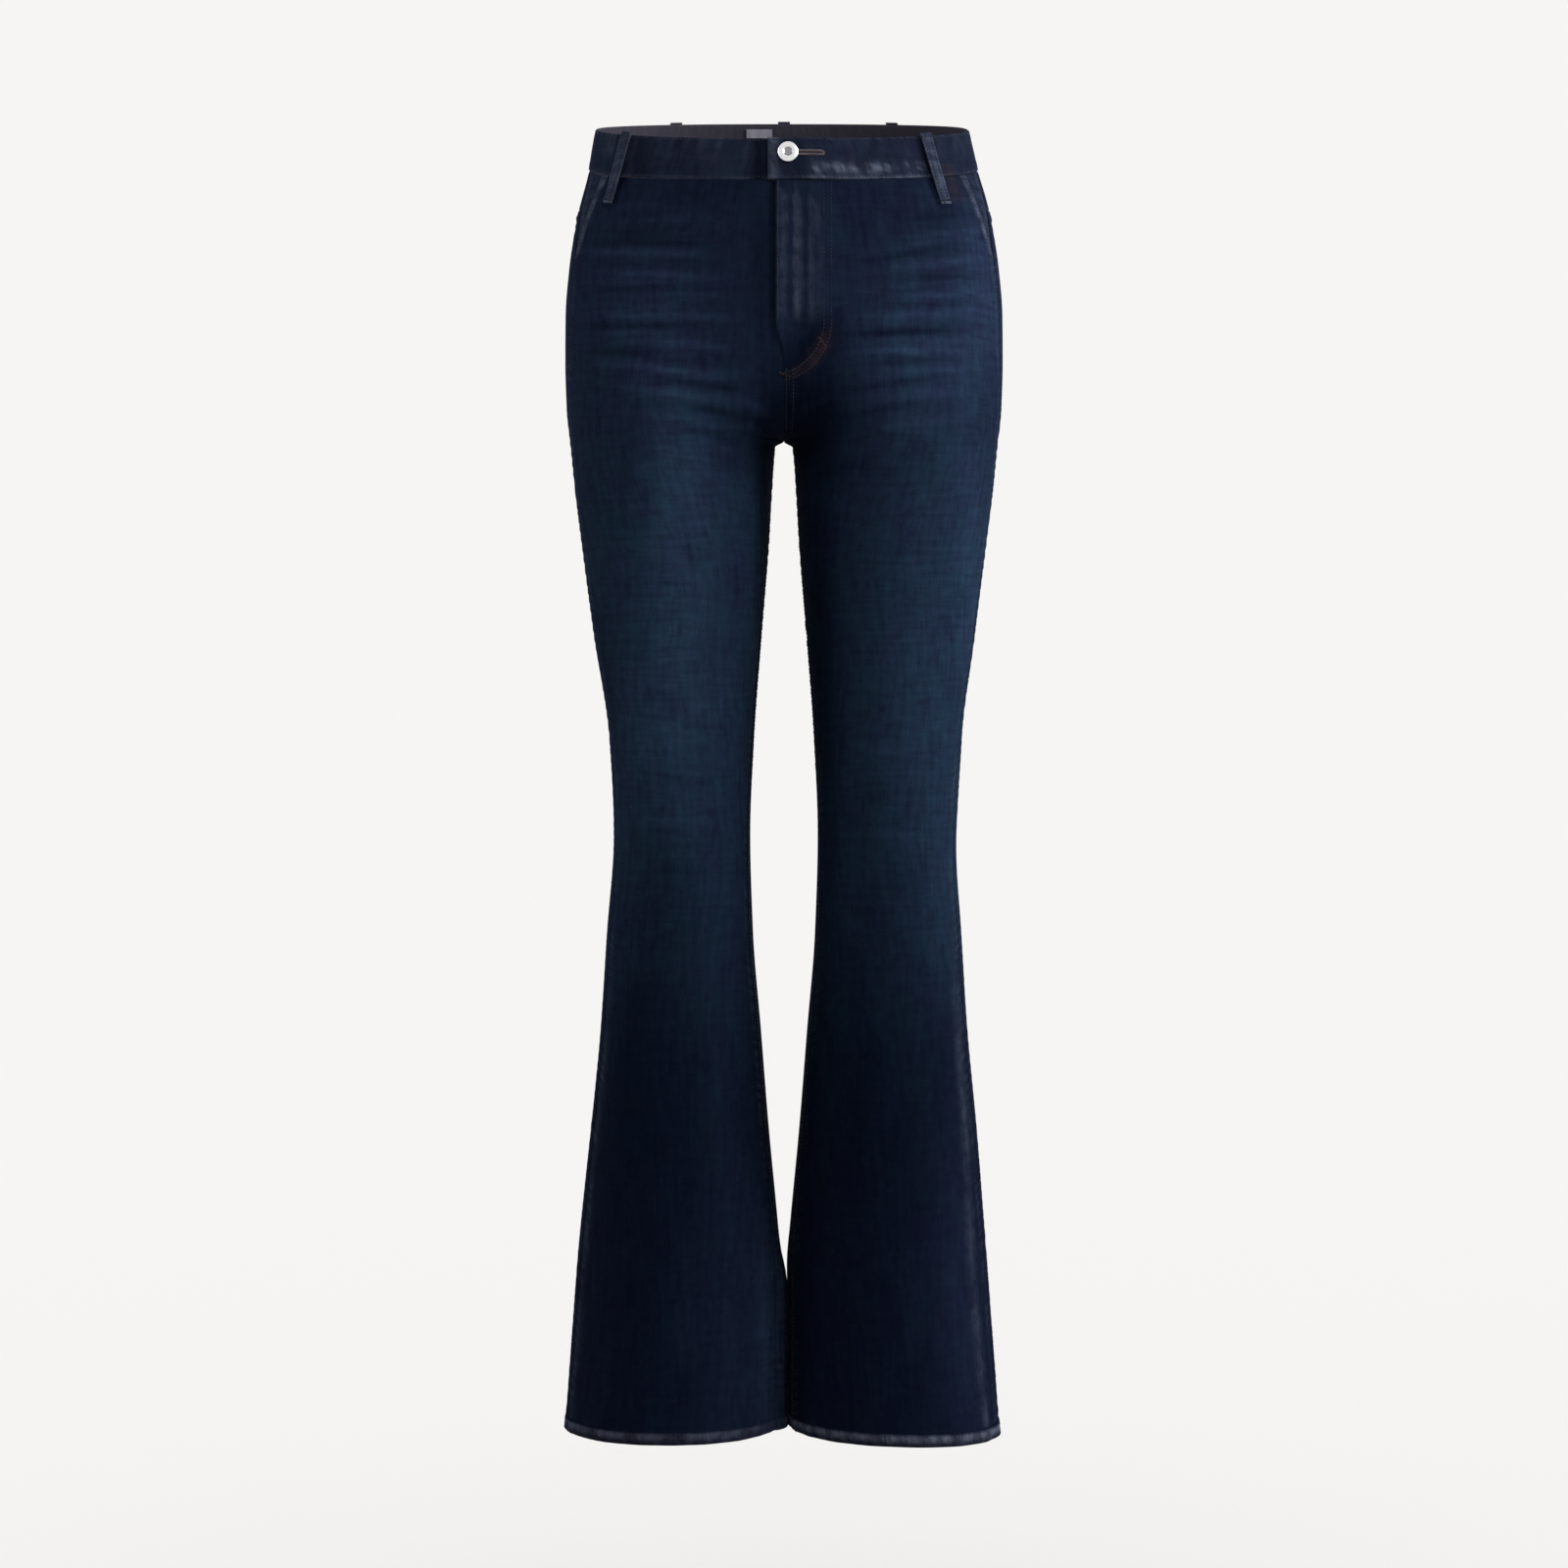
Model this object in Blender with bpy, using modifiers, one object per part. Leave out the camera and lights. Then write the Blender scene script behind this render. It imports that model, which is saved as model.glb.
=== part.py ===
"""High-rise flared denim jeans, filled out as if worn, modelled piece by piece as they are cut and sewn.

Units are metres, +Z is up, the front faces -Y and the wearer's left leg is at +X.
The origin is the centre of the waist opening, level with the top of the waistband at the sides.

Every piece lies on one smooth form. A point on it is given by its height and by its girth distance,
which is measured round the section from the outermost point of the left side: positive towards the
front, negative towards the back. The right half is the mirror of the left.
"""
import math

import bmesh
import bpy
import numpy as np
from mathutils import Vector

# Driving sizes of the garment.
CROTCH_HEIGHT = -0.268
HEM_HEIGHT = -1.106
HEM_TURN_UP = 0.011
HEM_PROUD = 0.0007
HEM_LOW_SIDE = 0.005
HEM_LOW_START = -0.90
HEM_LOW_SPAN = 0.20
HEM_HALF_WIDTH = 0.185
CLOTH = 0.0012
SEAM_GAP = 0.0003
CROTCH_GAP = 0.0009
CROTCH_GAP_REACH = 0.004
BAND_SEAM_GAP = 0.00045
LYING_GAP = 0.0005
CROTCH_SADDLE = 0.012
FRONT_RISE_BLEND = 0.085
SEAT_RISE_BLEND = 0.125
RISE_POWER = 1.6
SHARP_EDGE_ANGLE = 50.0

# The body of the form, one row for each level. Outer and inner are distances from the middle of the
# garment, front and back are distances from the plane y = 0, centre is where a section is widest.
SECTION_COLUMNS = ("height", "outer", "inner", "front", "back", "centre", "fullness")
SECTIONS = (
    (0.030, 0.1525, 0.0, 0.0775, 0.0860, -0.001, 2.16),
    (0.000, 0.1583, 0.0, 0.0820, 0.0900, 0.000, 2.16),
    (-0.040, 0.1655, 0.0, 0.0885, 0.0950, 0.001, 2.16),
    (-0.080, 0.1760, 0.0, 0.0950, 0.1020, 0.003, 2.15),
    (-0.120, 0.1825, 0.0, 0.1000, 0.1115, 0.005, 2.15),
    (-0.160, 0.1858, 0.0, 0.1025, 0.1200, 0.007, 2.15),
    (-0.200, 0.1862, 0.0, 0.1020, 0.1240, 0.009, 2.15),
    (-0.240, 0.1850, 0.0, 0.0985, 0.1220, 0.010, 2.15),
    (-0.268, 0.1823, 0.0, 0.0950, 0.1140, 0.010, 2.14),
    (-0.273, 0.1817, 0.0076, 0.0945, 0.1125, 0.010, 2.14),
    (-0.310, 0.1776, 0.0110, 0.0920, 0.1000, 0.007, 2.12),
    (-0.350, 0.1725, 0.0132, 0.0905, 0.0930, 0.004, 2.10),
    (-0.434, 0.1612, 0.0196, 0.0850, 0.0820, -0.001, 2.08),
    (-0.517, 0.1487, 0.0254, 0.0775, 0.0690, -0.004, 2.06),
    (-0.600, 0.1450, 0.0286, 0.0710, 0.0600, -0.005, 2.05),
    (-0.684, 0.1512, 0.0263, 0.0660, 0.0660, -0.001, 2.06),
    (-0.768, 0.1570, 0.0196, 0.0660, 0.0740, 0.003, 2.08),
    (-0.851, 0.1650, 0.0130, 0.0680, 0.0800, 0.005, 2.10),
    (-0.935, 0.1717, 0.0050, 0.0720, 0.0850, 0.006, 2.12),
    (-0.977, 0.1750, 0.0013, 0.0740, 0.0870, 0.006, 2.13),
    (-1.020, 0.1782, 0.0013, 0.0760, 0.0890, 0.006, 2.15),
    (-1.110, 0.1849, 0.0013, 0.0800, 0.0920, 0.006, 2.18),
    (-1.130, 0.1864, 0.0013, 0.0810, 0.0930, 0.006, 2.18),
)

# Seam lines, as girth distances at each height.
SEAM_COLUMNS = ("height", "side_seam", "inseam_forward")
SEAMS = (
    (0.030, 0.012, 0.0),
    (-0.036, 0.014, 0.0),
    (-0.114, 0.030, 0.0),
    (-0.268, 0.029, 0.0),
    (-0.350, 0.027, 0.010),
    (-0.500, 0.025, 0.018),
    (-0.700, 0.025, 0.022),
    (-1.130, 0.025, 0.024),
)

# The largest soft folds of the cloth. Leg is 1 for the left one, -1 for the right one and 0 for both.
# A fold runs at its lean from level through its middle, and its reach is half its length.
FOLD_COLUMNS = ("leg", "girth", "height", "lean", "reach", "width", "depth")
FOLDS = (
    (0, -0.095, -0.560, 4.0, 0.085, 0.015, 0.0024),
    (1, -0.085, -0.608, -6.0, 0.080, 0.014, 0.0026),
    (-1, -0.100, -0.615, 8.0, 0.080, 0.014, 0.0026),
    (0, -0.090, -0.660, -3.0, 0.075, 0.016, 0.0022),
    (0, -0.125, -0.312, -24.0, 0.090, 0.018, 0.0030),
    (0, -0.110, -0.362, -15.0, 0.075, 0.018, 0.0020),
    (1, 0.110, -0.262, 12.0, 0.090, 0.016, 0.0015),
    (-1, 0.105, -0.250, 10.0, 0.090, 0.016, 0.0015),
    (1, 0.070, -0.990, 86.0, 0.120, 0.026, 0.0022),
    (-1, 0.060, -0.980, 94.0, 0.120, 0.026, 0.0022),
    (0, -0.100, -0.980, 90.0, 0.130, 0.030, 0.0028),
)

# Rows of points on the long panels: the height at the inner edge and the height at the side seam.
# Each panel is one cut piece, and its solid parts at the knee into an upper and a lower wall.
KNEE_HEIGHT = -0.600
PANEL_ROWS = (
    (-0.118, -0.095),
    (-0.148, -0.114),
    (-0.176, -0.136),
    (-0.205, -0.158),
    (-0.228, -0.180),
    (-0.246, -0.202),
    (-0.2585, -0.222),
    (-0.2650, -0.240),
    (-0.2674, -0.256),
    (-0.2680, -0.271),
    (-0.2700, -0.286),
    (-0.2760, -0.302),
    (-0.2890, -0.319),
    (-0.3100, -0.339),
    (-0.3400, -0.363),
    (-0.3760, -0.393),
    (-0.4160, -0.427),
    (-0.4600, -0.466),
    (-0.5050, -0.508),
    (-0.5450, -0.546),
    (-0.5740, -0.574),
    (KNEE_HEIGHT, KNEE_HEIGHT),
    (KNEE_HEIGHT - SEAM_GAP, KNEE_HEIGHT - SEAM_GAP),
    (-0.6260, -0.626),
    (-0.6580, -0.658),
    (-0.7000, -0.700),
    (-0.7500, -0.750),
    (-0.8020, -0.802),
    (-0.8560, -0.856),
    (-0.9120, -0.912),
    (-0.9680, -0.968),
    (-1.0250, -1.025),
    (-1.0700, -1.070),
)
FRONT_EXTRA_ROW = (-0.086, -0.068)
HEM_STEP = 0.0012

# Columns of points on each kind of piece: the share of the way from its inner edge to its outer one.
FRONT_SHARES = (0.0, 0.035, 0.10, 0.17, 0.24, 0.29, 0.37, 0.45, 0.53, 0.61, 0.685, 0.765, 0.845, 0.92, 1.0)
BACK_COLUMNS = 19
YOKE_GRID = (4, 15)
FACING_GRID = (8, 7)
BAND_GRID = (4, 37)
LOOP_GRID = (10, 3)
LABEL_GRID = (3, 4)

# Waist.
BAND_HEIGHT = 0.0345
BAND_THICKNESS = 0.0024
BAND_PROUD = 0.0008
BAND_LAP_LIFT = 0.0029
LEFT_BAND_LAP = 0.0135
RIGHT_BAND_LAP = 0.0230
LAP_RAMP_START = 0.050
LAP_RAMP_END = 0.029
WAIST_TILT_MEAN = 0.2045
WAIST_TILT_BEND = -0.0305
WAIST_TILT_ROUNDING = 0.020
WAIST_LEVEL = -0.020
YOKE_LEVEL = -0.065
YOKE_SIDE_DEPTH = 0.032
YOKE_MIDDLE_DEPTH = 0.075

# Fly.
FLY_EDGE = 0.0070
FLY_STRAIGHT_END = -0.172
FLY_END = -0.205
FLY_STITCH_REACH = 0.039
FLY_CURVE_TOP = -0.176
FLY_CURVE_BOTTOM = -0.221
FLY_CURVE_DRIFT = 0.004
FLY_PROUD = 0.0009
FLY_PROUD_RAMP = 0.006

# Front pockets.
MOUTH_AT_BAND = 0.046
MOUTH_TOP = -0.043
MOUTH_BOTTOM = -0.114
MOUTH_CURVE = 1.15
FACING_UNDER_FRONT = 0.013
FACING_UNDER_SEAM = 0.004
FACING_BELOW_MOUTH = 0.010
FACING_DROP = 0.0020

# Back pockets, placed by the back panel's rows and columns of points.
POCKET_TOP_ROW = 1
POCKET_BASE_ROW = 7
POCKET_POINT_ROWS = 2.0
POCKET_TOP_COLUMNS = (4.10, 12.90)
POCKET_BASE_COLUMNS = (4.75, 12.25)
POCKET_CORNER_SHARE = 0.12
POCKET_GAP = 0.0008
POCKET_THICKNESS = 0.0014

# Belt loops.
LOOP_WIDTH = 0.0105
LOOP_THICKNESS = 0.0013
LOOP_ABOVE_BAND = 0.0020
LOOP_BELOW_BAND = 0.0190
LOOP_ARCH = 0.0010
LOOP_ARCH_SHARE = 0.80
LOOP_DROP_SHARE = 0.67
LEFT_FRONT_LOOP_GIRTH = 0.081
RIGHT_FRONT_LOOP_GIRTH = 0.065
BACK_LOOP_GIRTH = -0.105

# Button and label.
BUTTON_X = 0.0033
BUTTON_BELOW_EDGE = 0.0120
BUTTON_STEPS = 32
BUTTON_PROFILE = (
    (0.0000, 0.0019),
    (0.0026, 0.0019),
    (0.0031, 0.0021),
    (0.0037, 0.0028),
    (0.0053, 0.0034),
    (0.0070, 0.0031),
    (0.0081, 0.0023),
    (0.0085, 0.0015),
    (0.0081, 0.0009),
    (0.0045, 0.0006),
    (0.0034, 0.0004),
    (0.0034, 0.0000),
    (0.0000, 0.0000),
)
LABEL_CENTRE_X = -0.0215
LABEL_WIDTH = 0.0225
LABEL_HEIGHT = 0.0180
LABEL_BELOW_EDGE = 0.0045
LABEL_THICKNESS = 0.0008

# How finely the form is tabled: points round a half section, levels, and closer levels at the crotch,
# each with its number and its reach below or above the crotch.
OUTLINE_SAMPLES = 240
OUTLINE_STEPS = 120
FORM_BOTTOM = -1.128
FORM_TOP = 0.028
FORM_LEVELS = 290
LEVELS_BELOW_CROTCH = (12, 0.012)
LEVELS_ABOVE_CROTCH = (24, 0.030)
DIFFERENCE_STEP = 0.0005

MATERIALS = {
    "denim": ((0.010, 0.018, 0.045, 1.0), 0.92, 0.0),
    "denim_band": ((0.012, 0.020, 0.048, 1.0), 0.92, 0.0),
    "bright_metal": ((0.62, 0.64, 0.68, 1.0), 0.28, 1.0),
    "plain_label": ((0.55, 0.56, 0.62, 1.0), 0.80, 0.0),
}


def table_column(rows, columns, name):
    """One named column of a table, ordered from the lowest height to the highest."""
    return np.array([row[columns.index(name)] for row in rows])[::-1]


def smooth_values(at, heights, values):
    """Cubic through the rows of a table that never swings past two neighbouring rows."""
    step = np.diff(heights)
    slope = np.diff(values) / step
    product = slope[:-1] * slope[1:]
    total = np.where(product > 0.0, slope[:-1] + slope[1:], 1.0)
    tangent = np.concatenate((slope[:1], np.where(product > 0.0, 2.0 * product / total, 0.0), slope[-1:]))
    cell = np.clip(np.searchsorted(heights, at) - 1, 0, len(step) - 1)
    t = (at - heights[cell]) / step[cell]
    start = values[cell] + step[cell] * tangent[cell] * t * (1.0 - t)
    end = values[cell + 1] - step[cell] * tangent[cell + 1] * t * (1.0 - t)
    weight = t * t * (3.0 - 2.0 * t)
    bend = (start - values[cell]) * (1.0 - t) + (end - values[cell + 1]) * t
    return values[cell] * (1.0 - weight) + values[cell + 1] * weight + bend


def section_value(name, height):
    """A column of the section table at any height."""
    heights = table_column(SECTIONS, SECTION_COLUMNS, "height")
    return smooth_values(height, heights, table_column(SECTIONS, SECTION_COLUMNS, name))


def seam_value(name, height):
    """A column of the seam table at any height."""
    heights = table_column(SEAMS, SEAM_COLUMNS, "height")
    return smooth_values(height, heights, table_column(SEAMS, SEAM_COLUMNS, name))


def soft_step(value):
    """0 below 0, 1 above 1 and an S-curve between."""
    t = np.clip(value, 0.0, 1.0)
    return t * t * (3.0 - 2.0 * t)


def half_outline(height, towards_back):
    """Outline of the left half at one height, from its outermost point round to its inner end.

    The half section is a superellipse in a bent coordinate: x = sqrt(bent^2 - saddle^2). Below the
    crotch it is a whole leg; above it the superellipse is cut off at x = 0, further out the higher
    it is, so the legs grow together in a smooth saddle and then into one round trunk.
    """
    outer = section_value("outer", height)
    inner = section_value("inner", height)
    centre = section_value("centre", height)
    power = section_value("fullness", height)
    if towards_back:
        depth = section_value("back", height) - centre
        blend = SEAT_RISE_BLEND
    else:
        depth = -section_value("front", height) - centre
        blend = FRONT_RISE_BLEND
    bent_outer = math.hypot(outer, CROTCH_SADDLE)
    above = max(height - CROTCH_HEIGHT, 0.0)
    leg_share = max(0.0, 1.0 - above / blend) ** RISE_POWER
    bent_inner = math.hypot(inner, CROTCH_SADDLE)
    if above > 0.0:
        bent_inner = (leg_share * bent_outer - bent_outer + 2.0 * CROTCH_SADDLE) / (1.0 + leg_share)
    middle = 0.5 * (bent_outer + bent_inner)
    half_width = 0.5 * (bent_outer - bent_inner)
    first = math.acos(min(1.0, leg_share ** (power / 2.0)))
    angle = first + (math.pi - first) * np.linspace(1.0, 0.0, OUTLINE_SAMPLES) ** 2
    cosine = np.cos(angle)
    bent = middle - half_width * np.sign(cosine) * np.abs(cosine) ** (2.0 / power)
    x = np.sqrt(np.maximum(bent ** 2 - CROTCH_SADDLE ** 2, 0.0))
    y = centre + depth * np.abs(np.sin(angle)) ** (2.0 / power)
    if above > 0.0:
        x[-1] = 0.0
    return x, y


def even_outline(height, towards_back):
    """The half outline at evenly spaced girth distances, and its length."""
    x, y = half_outline(height, towards_back)
    along = np.concatenate(([0.0], np.cumsum(np.hypot(np.diff(x), np.diff(y)))))
    even = np.linspace(0.0, along[-1], OUTLINE_STEPS + 1)
    return np.interp(even, along, x), np.interp(even, along, y), along[-1]


def build_form():
    """Tables of the even outlines at closely spaced heights, closest just above the crotch."""
    regular = np.linspace(FORM_BOTTOM, FORM_TOP, FORM_LEVELS)
    count, reach = LEVELS_BELOW_CROTCH
    below = CROTCH_HEIGHT - np.linspace(0.05, 1.0, count) ** 2 * reach
    count, reach = LEVELS_ABOVE_CROTCH
    above = CROTCH_HEIGHT + np.linspace(0.0, 1.0, count) ** 2 * reach
    heights = np.unique(np.round(np.concatenate((regular, below, above)), 6))
    form = {"heights": heights}
    for key, towards_back in (("front", False), ("back", True)):
        rows = [even_outline(height, towards_back) for height in heights]
        form[key] = np.stack([np.stack((row[0], row[1]), axis=-1) for row in rows])
        form[key + "_length"] = np.array([row[2] for row in rows])
    return form


FORM = build_form()


def girth_length(height, key):
    """Girth distance from the side to the middle or inner end, at the front or at the back."""
    return np.interp(height, FORM["heights"], FORM[key + "_length"])


def look_up(key, share, height):
    """Point of a half outline at a share of its length and a height, blended from the form's tables."""
    table = FORM[key]
    level = np.interp(height, FORM["heights"], np.arange(len(FORM["heights"])))
    low = np.clip(level.astype(int), 0, len(table) - 2)
    across = np.clip(share, 0.0, 1.0) * OUTLINE_STEPS
    first = np.clip(across.astype(int), 0, OUTLINE_STEPS - 1)
    up = (level - low)[..., None]
    along = (across - first)[..., None]
    lower = table[low, first] * (1.0 - along) + table[low, first + 1] * along
    upper = table[low + 1, first] * (1.0 - along) + table[low + 1, first + 1] * along
    return lower * (1.0 - up) + upper * up


def wrap_girth(girth, height):
    """Girth distance brought into one turn of a leg. Above the crotch it is left as it is."""
    front = girth_length(height, "front")
    back = girth_length(height, "back")
    turn = np.where(girth > front, -(front + back), 0.0) + np.where(girth < -back, front + back, 0.0)
    return np.where(height < CROTCH_HEIGHT, girth + turn, girth)


def form_point(girth, height):
    """Point of the smooth form. Above the crotch a distance past the middle lies on the other half."""
    girth = wrap_girth(girth, height)
    share_front = girth / girth_length(height, "front")
    share_back = -girth / girth_length(height, "back")
    at_front = look_up("front", np.where(share_front > 1.0, 2.0 - share_front, share_front), height)
    at_back = look_up("back", np.where(share_back > 1.0, 2.0 - share_back, share_back), height)
    flat = np.where((girth >= 0.0)[..., None], at_front, at_back)
    past_middle = (share_front > 1.0) | (share_back > 1.0)
    x = np.where(past_middle, -flat[..., 0], flat[..., 0])
    return np.stack((x, flat[..., 1], height), axis=-1)


def form_normal(girth, height, point):
    """Outward direction of a surface function at its points, from differences of 1 mm."""
    step = DIFFERENCE_STEP
    round_way = point(girth + step, height) - point(girth - step, height)
    up_way = point(girth, height + step) - point(girth, height - step)
    normal = np.cross(up_way, round_way)
    return normal / np.linalg.norm(normal, axis=-1, keepdims=True)


def fold_depth(girth, height, leg):
    """How far the soft folds draw the cloth in: a bell across each fold, fading out at its ends."""
    girth = wrap_girth(girth, height)
    total = np.zeros_like(girth)
    for row in FOLDS:
        fold = dict(zip(FOLD_COLUMNS, row))
        if fold["leg"] not in (0, leg):
            continue
        lean = math.radians(fold["lean"])
        sideways = girth - fold["girth"]
        upwards = height - fold["height"]
        along = sideways * math.cos(lean) + upwards * math.sin(lean)
        across = upwards * math.cos(lean) - sideways * math.sin(lean)
        fade = np.maximum(0.0, 1.0 - (along / fold["reach"]) ** 2) ** 2
        total += fold["depth"] * fade * np.exp(-(across / fold["width"]) ** 2)
    return total


def cloth_point(girth, height, leg):
    """Point of the cloth's outer face: the smooth form drawn in by its folds."""
    smooth = form_point(girth, height)
    normal = form_normal(girth, height, form_point)
    return smooth - normal * fold_depth(girth, height, leg)[..., None]


def cloth_face(girth, height, leg, offset):
    """Points at an offset outwards from the cloth's outer face, on the named leg's side."""
    def point(at_girth, at_height):
        return cloth_point(at_girth, at_height, leg)

    place = point(girth, height) + form_normal(girth, height, point) * np.asarray(offset)[..., None]
    return place * np.array((leg, 1.0, 1.0))


def waist_edge(girth):
    """Height of the waistband's top edge, which dips at the front and rises at the back."""
    y = form_point(girth, np.full_like(girth, WAIST_LEVEL))[..., 1]
    bend = np.sqrt(y ** 2 + WAIST_TILT_ROUNDING ** 2) - WAIST_TILT_ROUNDING
    return WAIST_TILT_MEAN * y + WAIST_TILT_BEND * bend


def band_seam(girth):
    """Height of the seam under the waistband."""
    return waist_edge(girth) - BAND_HEIGHT


def yoke_seam(girth):
    """Height of the seam under the yoke, which drops in a V towards the middle of the back."""
    side = seam_value("side_seam", np.full_like(girth, YOKE_LEVEL))
    back = girth_length(np.full_like(girth, YOKE_LEVEL), "back")
    share = np.clip((side - girth) / (side + back), 0.0, 1.0)
    return band_seam(girth) - YOKE_SIDE_DEPTH - (YOKE_MIDDLE_DEPTH - YOKE_SIDE_DEPTH) * share


def pocket_mouth(height):
    """Girth distance of the slanting pocket mouth, which ends on the side seam."""
    down = np.clip((height - MOUTH_TOP) / (MOUTH_BOTTOM - MOUTH_TOP), 0.0, 1.0)
    end = seam_value("side_seam", np.full_like(height, MOUTH_BOTTOM))
    return MOUTH_AT_BAND + (end - MOUTH_AT_BAND) * down ** MOUTH_CURVE


def grid_mesh(name, points, closed_with=None):
    """Mesh of quads over a grid of points, with a second grid and a rim for a wall of two faces."""
    rows, columns = points.shape[:2]
    index = np.arange(rows * columns).reshape(rows, columns)
    corners = (index[:-1, :-1], index[1:, :-1], index[1:, 1:], index[:-1, 1:])
    quads = np.stack(corners, axis=-1).reshape(-1, 4)
    vertices = points.reshape(-1, 3)
    faces = quads.tolist()
    if closed_with is not None:
        count = rows * columns
        vertices = np.concatenate((vertices, closed_with.reshape(-1, 3)))
        faces += (quads[:, ::-1] + count).tolist()
        rim = np.concatenate((index[0, :], index[1:, -1], index[-1, -2::-1], index[-2:0:-1, 0]))
        after = np.roll(rim, -1)
        faces += np.stack((rim, after, after + count, rim + count), axis=-1).tolist()
    mesh = bpy.data.meshes.new(name)
    mesh.from_pydata(vertices.tolist(), [], faces)
    return mesh


def turn_faces_out(mesh, outwards=None):
    """Make the faces point out: on a closed wall by its volume, on an open sheet along a direction."""
    work = bmesh.new()
    work.from_mesh(mesh)
    bmesh.ops.recalc_face_normals(work, faces=work.faces)
    if outwards is not None:
        work.faces.ensure_lookup_table()
        if work.faces[0].normal.dot(Vector(outwards)) < 0.0:
            bmesh.ops.reverse_faces(work, faces=work.faces)
    work.to_mesh(mesh)
    work.free()


def make_material(name):
    """Plain finish of a piece: colour, roughness and metallic value."""
    colour, roughness, metallic = MATERIALS[name]
    material = bpy.data.materials.new(name)
    material.use_nodes = True
    shader = material.node_tree.nodes["Principled BSDF"]
    shader.inputs["Base Color"].default_value = colour
    shader.inputs["Roughness"].default_value = roughness
    shader.inputs["Metallic"].default_value = metallic
    material.diffuse_color = colour
    return material


def place_piece(name, mesh, material, collection):
    """Put a mesh into the garment's collection as a smooth-shaded object."""
    mesh.materials.append(material)
    mesh.shade_smooth()
    mesh.set_sharp_from_angle(angle=math.radians(SHARP_EDGE_ANGLE))
    piece = bpy.data.objects.new(name, mesh)
    collection.objects.link(piece)
    return piece


def cloth_wall(name, outer, inner, material, collection):
    """A panel of cloth as a closed wall between its outer and its inner points."""
    mesh = grid_mesh(name, outer, closed_with=inner)
    turn_faces_out(mesh)
    return place_piece(name, mesh, material, collection)


def panel_walls(name, height, outer, inner, material, collection):
    """A long panel as its upper and lower walls."""
    upper = int(np.sum(height[:, 0] > KNEE_HEIGHT - 0.5 * SEAM_GAP))
    cloth_wall(name + "_upper", outer[:upper], inner[:upper], material, collection)
    cloth_wall(name + "_lower", outer[upper:], inner[upper:], material, collection)


def cloth_sheet(name, points, outwards, thickness, material, collection):
    """A small piece of cloth as an open sheet of its inner points, thickened outwards."""
    mesh = grid_mesh(name, points)
    turn_faces_out(mesh, outwards)
    piece = place_piece(name, mesh, material, collection)
    solidify = piece.modifiers.new("cloth", "SOLIDIFY")
    solidify.thickness = thickness
    solidify.offset = 1.0
    return piece


def panel_grid(rows, shares, inner_edge, outer_edge, top_seam, leg):
    """Girth distances and heights of a long panel, from its top seam down to the hem."""
    inner = np.array([row[0] for row in rows])[:, None]
    outer = np.array([row[1] for row in rows])[:, None]
    body = inner + (outer - inner) * shares[None, :]
    level = HEM_HEIGHT + HEM_TURN_UP
    tail = np.array((level + HEM_STEP, level, HEM_HEIGHT))[:, None] + np.zeros_like(shares)
    top = body[0]
    for _ in range(3):
        edge = inner_edge(top) + (outer_edge(top) - inner_edge(top)) * shares
        top = top_seam(edge) - BAND_SEAM_GAP
    height = np.concatenate((top[None, :], body, tail))
    girth = inner_edge(height) + (outer_edge(height) - inner_edge(height)) * shares
    low = soft_step((HEM_LOW_START - height) / HEM_LOW_SPAN) * HEM_LOW_SIDE * (0.5 + 0.5 * leg)
    outwardness = np.clip(form_point(girth, height)[..., 0] / HEM_HALF_WIDTH, 0.0, 1.0) ** 2
    return girth, height - low * outwardness


def fly_proud(girth, height):
    """The fly's facing lifts the left front inside the curved line of its stitches."""
    from_middle = girth_length(height, "front") - girth
    down = np.clip((FLY_CURVE_TOP - height) / (FLY_CURVE_TOP - FLY_CURVE_BOTTOM), 0.0, 1.0)
    reach = FLY_STITCH_REACH * np.sqrt(1.0 - down ** 2) - FLY_CURVE_DRIFT * down
    inside = soft_step((reach - from_middle) / FLY_PROUD_RAMP + 0.5)
    return FLY_PROUD * inside * soft_step((height - FLY_CURVE_BOTTOM) / FLY_PROUD_RAMP)


def half_seam_gap(height):
    """Half the gap at a long seam, wider at the crotch, where four panels meet at narrow angles."""
    nearness = np.exp(-((height - CROTCH_HEIGHT) / CROTCH_GAP_REACH) ** 2)
    return 0.5 * (SEAM_GAP + (CROTCH_GAP - SEAM_GAP) * nearness)


def front_panel(leg, materials, collection):
    """One front with its leg, from the waistband to the hem. The left one carries the fly's lap."""
    shares = np.array(FRONT_SHARES)

    def inner_edge(height):
        front = girth_length(height, "front")
        below = (FLY_STRAIGHT_END - height) / (FLY_STRAIGHT_END - FLY_END)
        lap = leg * FLY_EDGE * (1.0 - soft_step(below))
        return front - seam_value("inseam_forward", height) + lap - half_seam_gap(height)

    def outer_edge(height):
        seam = seam_value("side_seam", height)
        return np.where(height > MOUTH_BOTTOM, pocket_mouth(height), seam) + 0.5 * SEAM_GAP

    rows = (FRONT_EXTRA_ROW,) + PANEL_ROWS
    girth, height = panel_grid(rows, shares, inner_edge, outer_edge, band_seam, leg)
    proud = np.zeros_like(height)
    proud[-2:] = HEM_PROUD
    if leg > 0:
        proud += fly_proud(girth, height)
    outer = cloth_face(girth, height, leg, proud)
    inner = cloth_face(girth, height, leg, np.full_like(height, -CLOTH))
    name = "front_left" if leg > 0 else "front_right"
    panel_walls(name, height, outer, inner, materials["denim"], collection)


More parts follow.
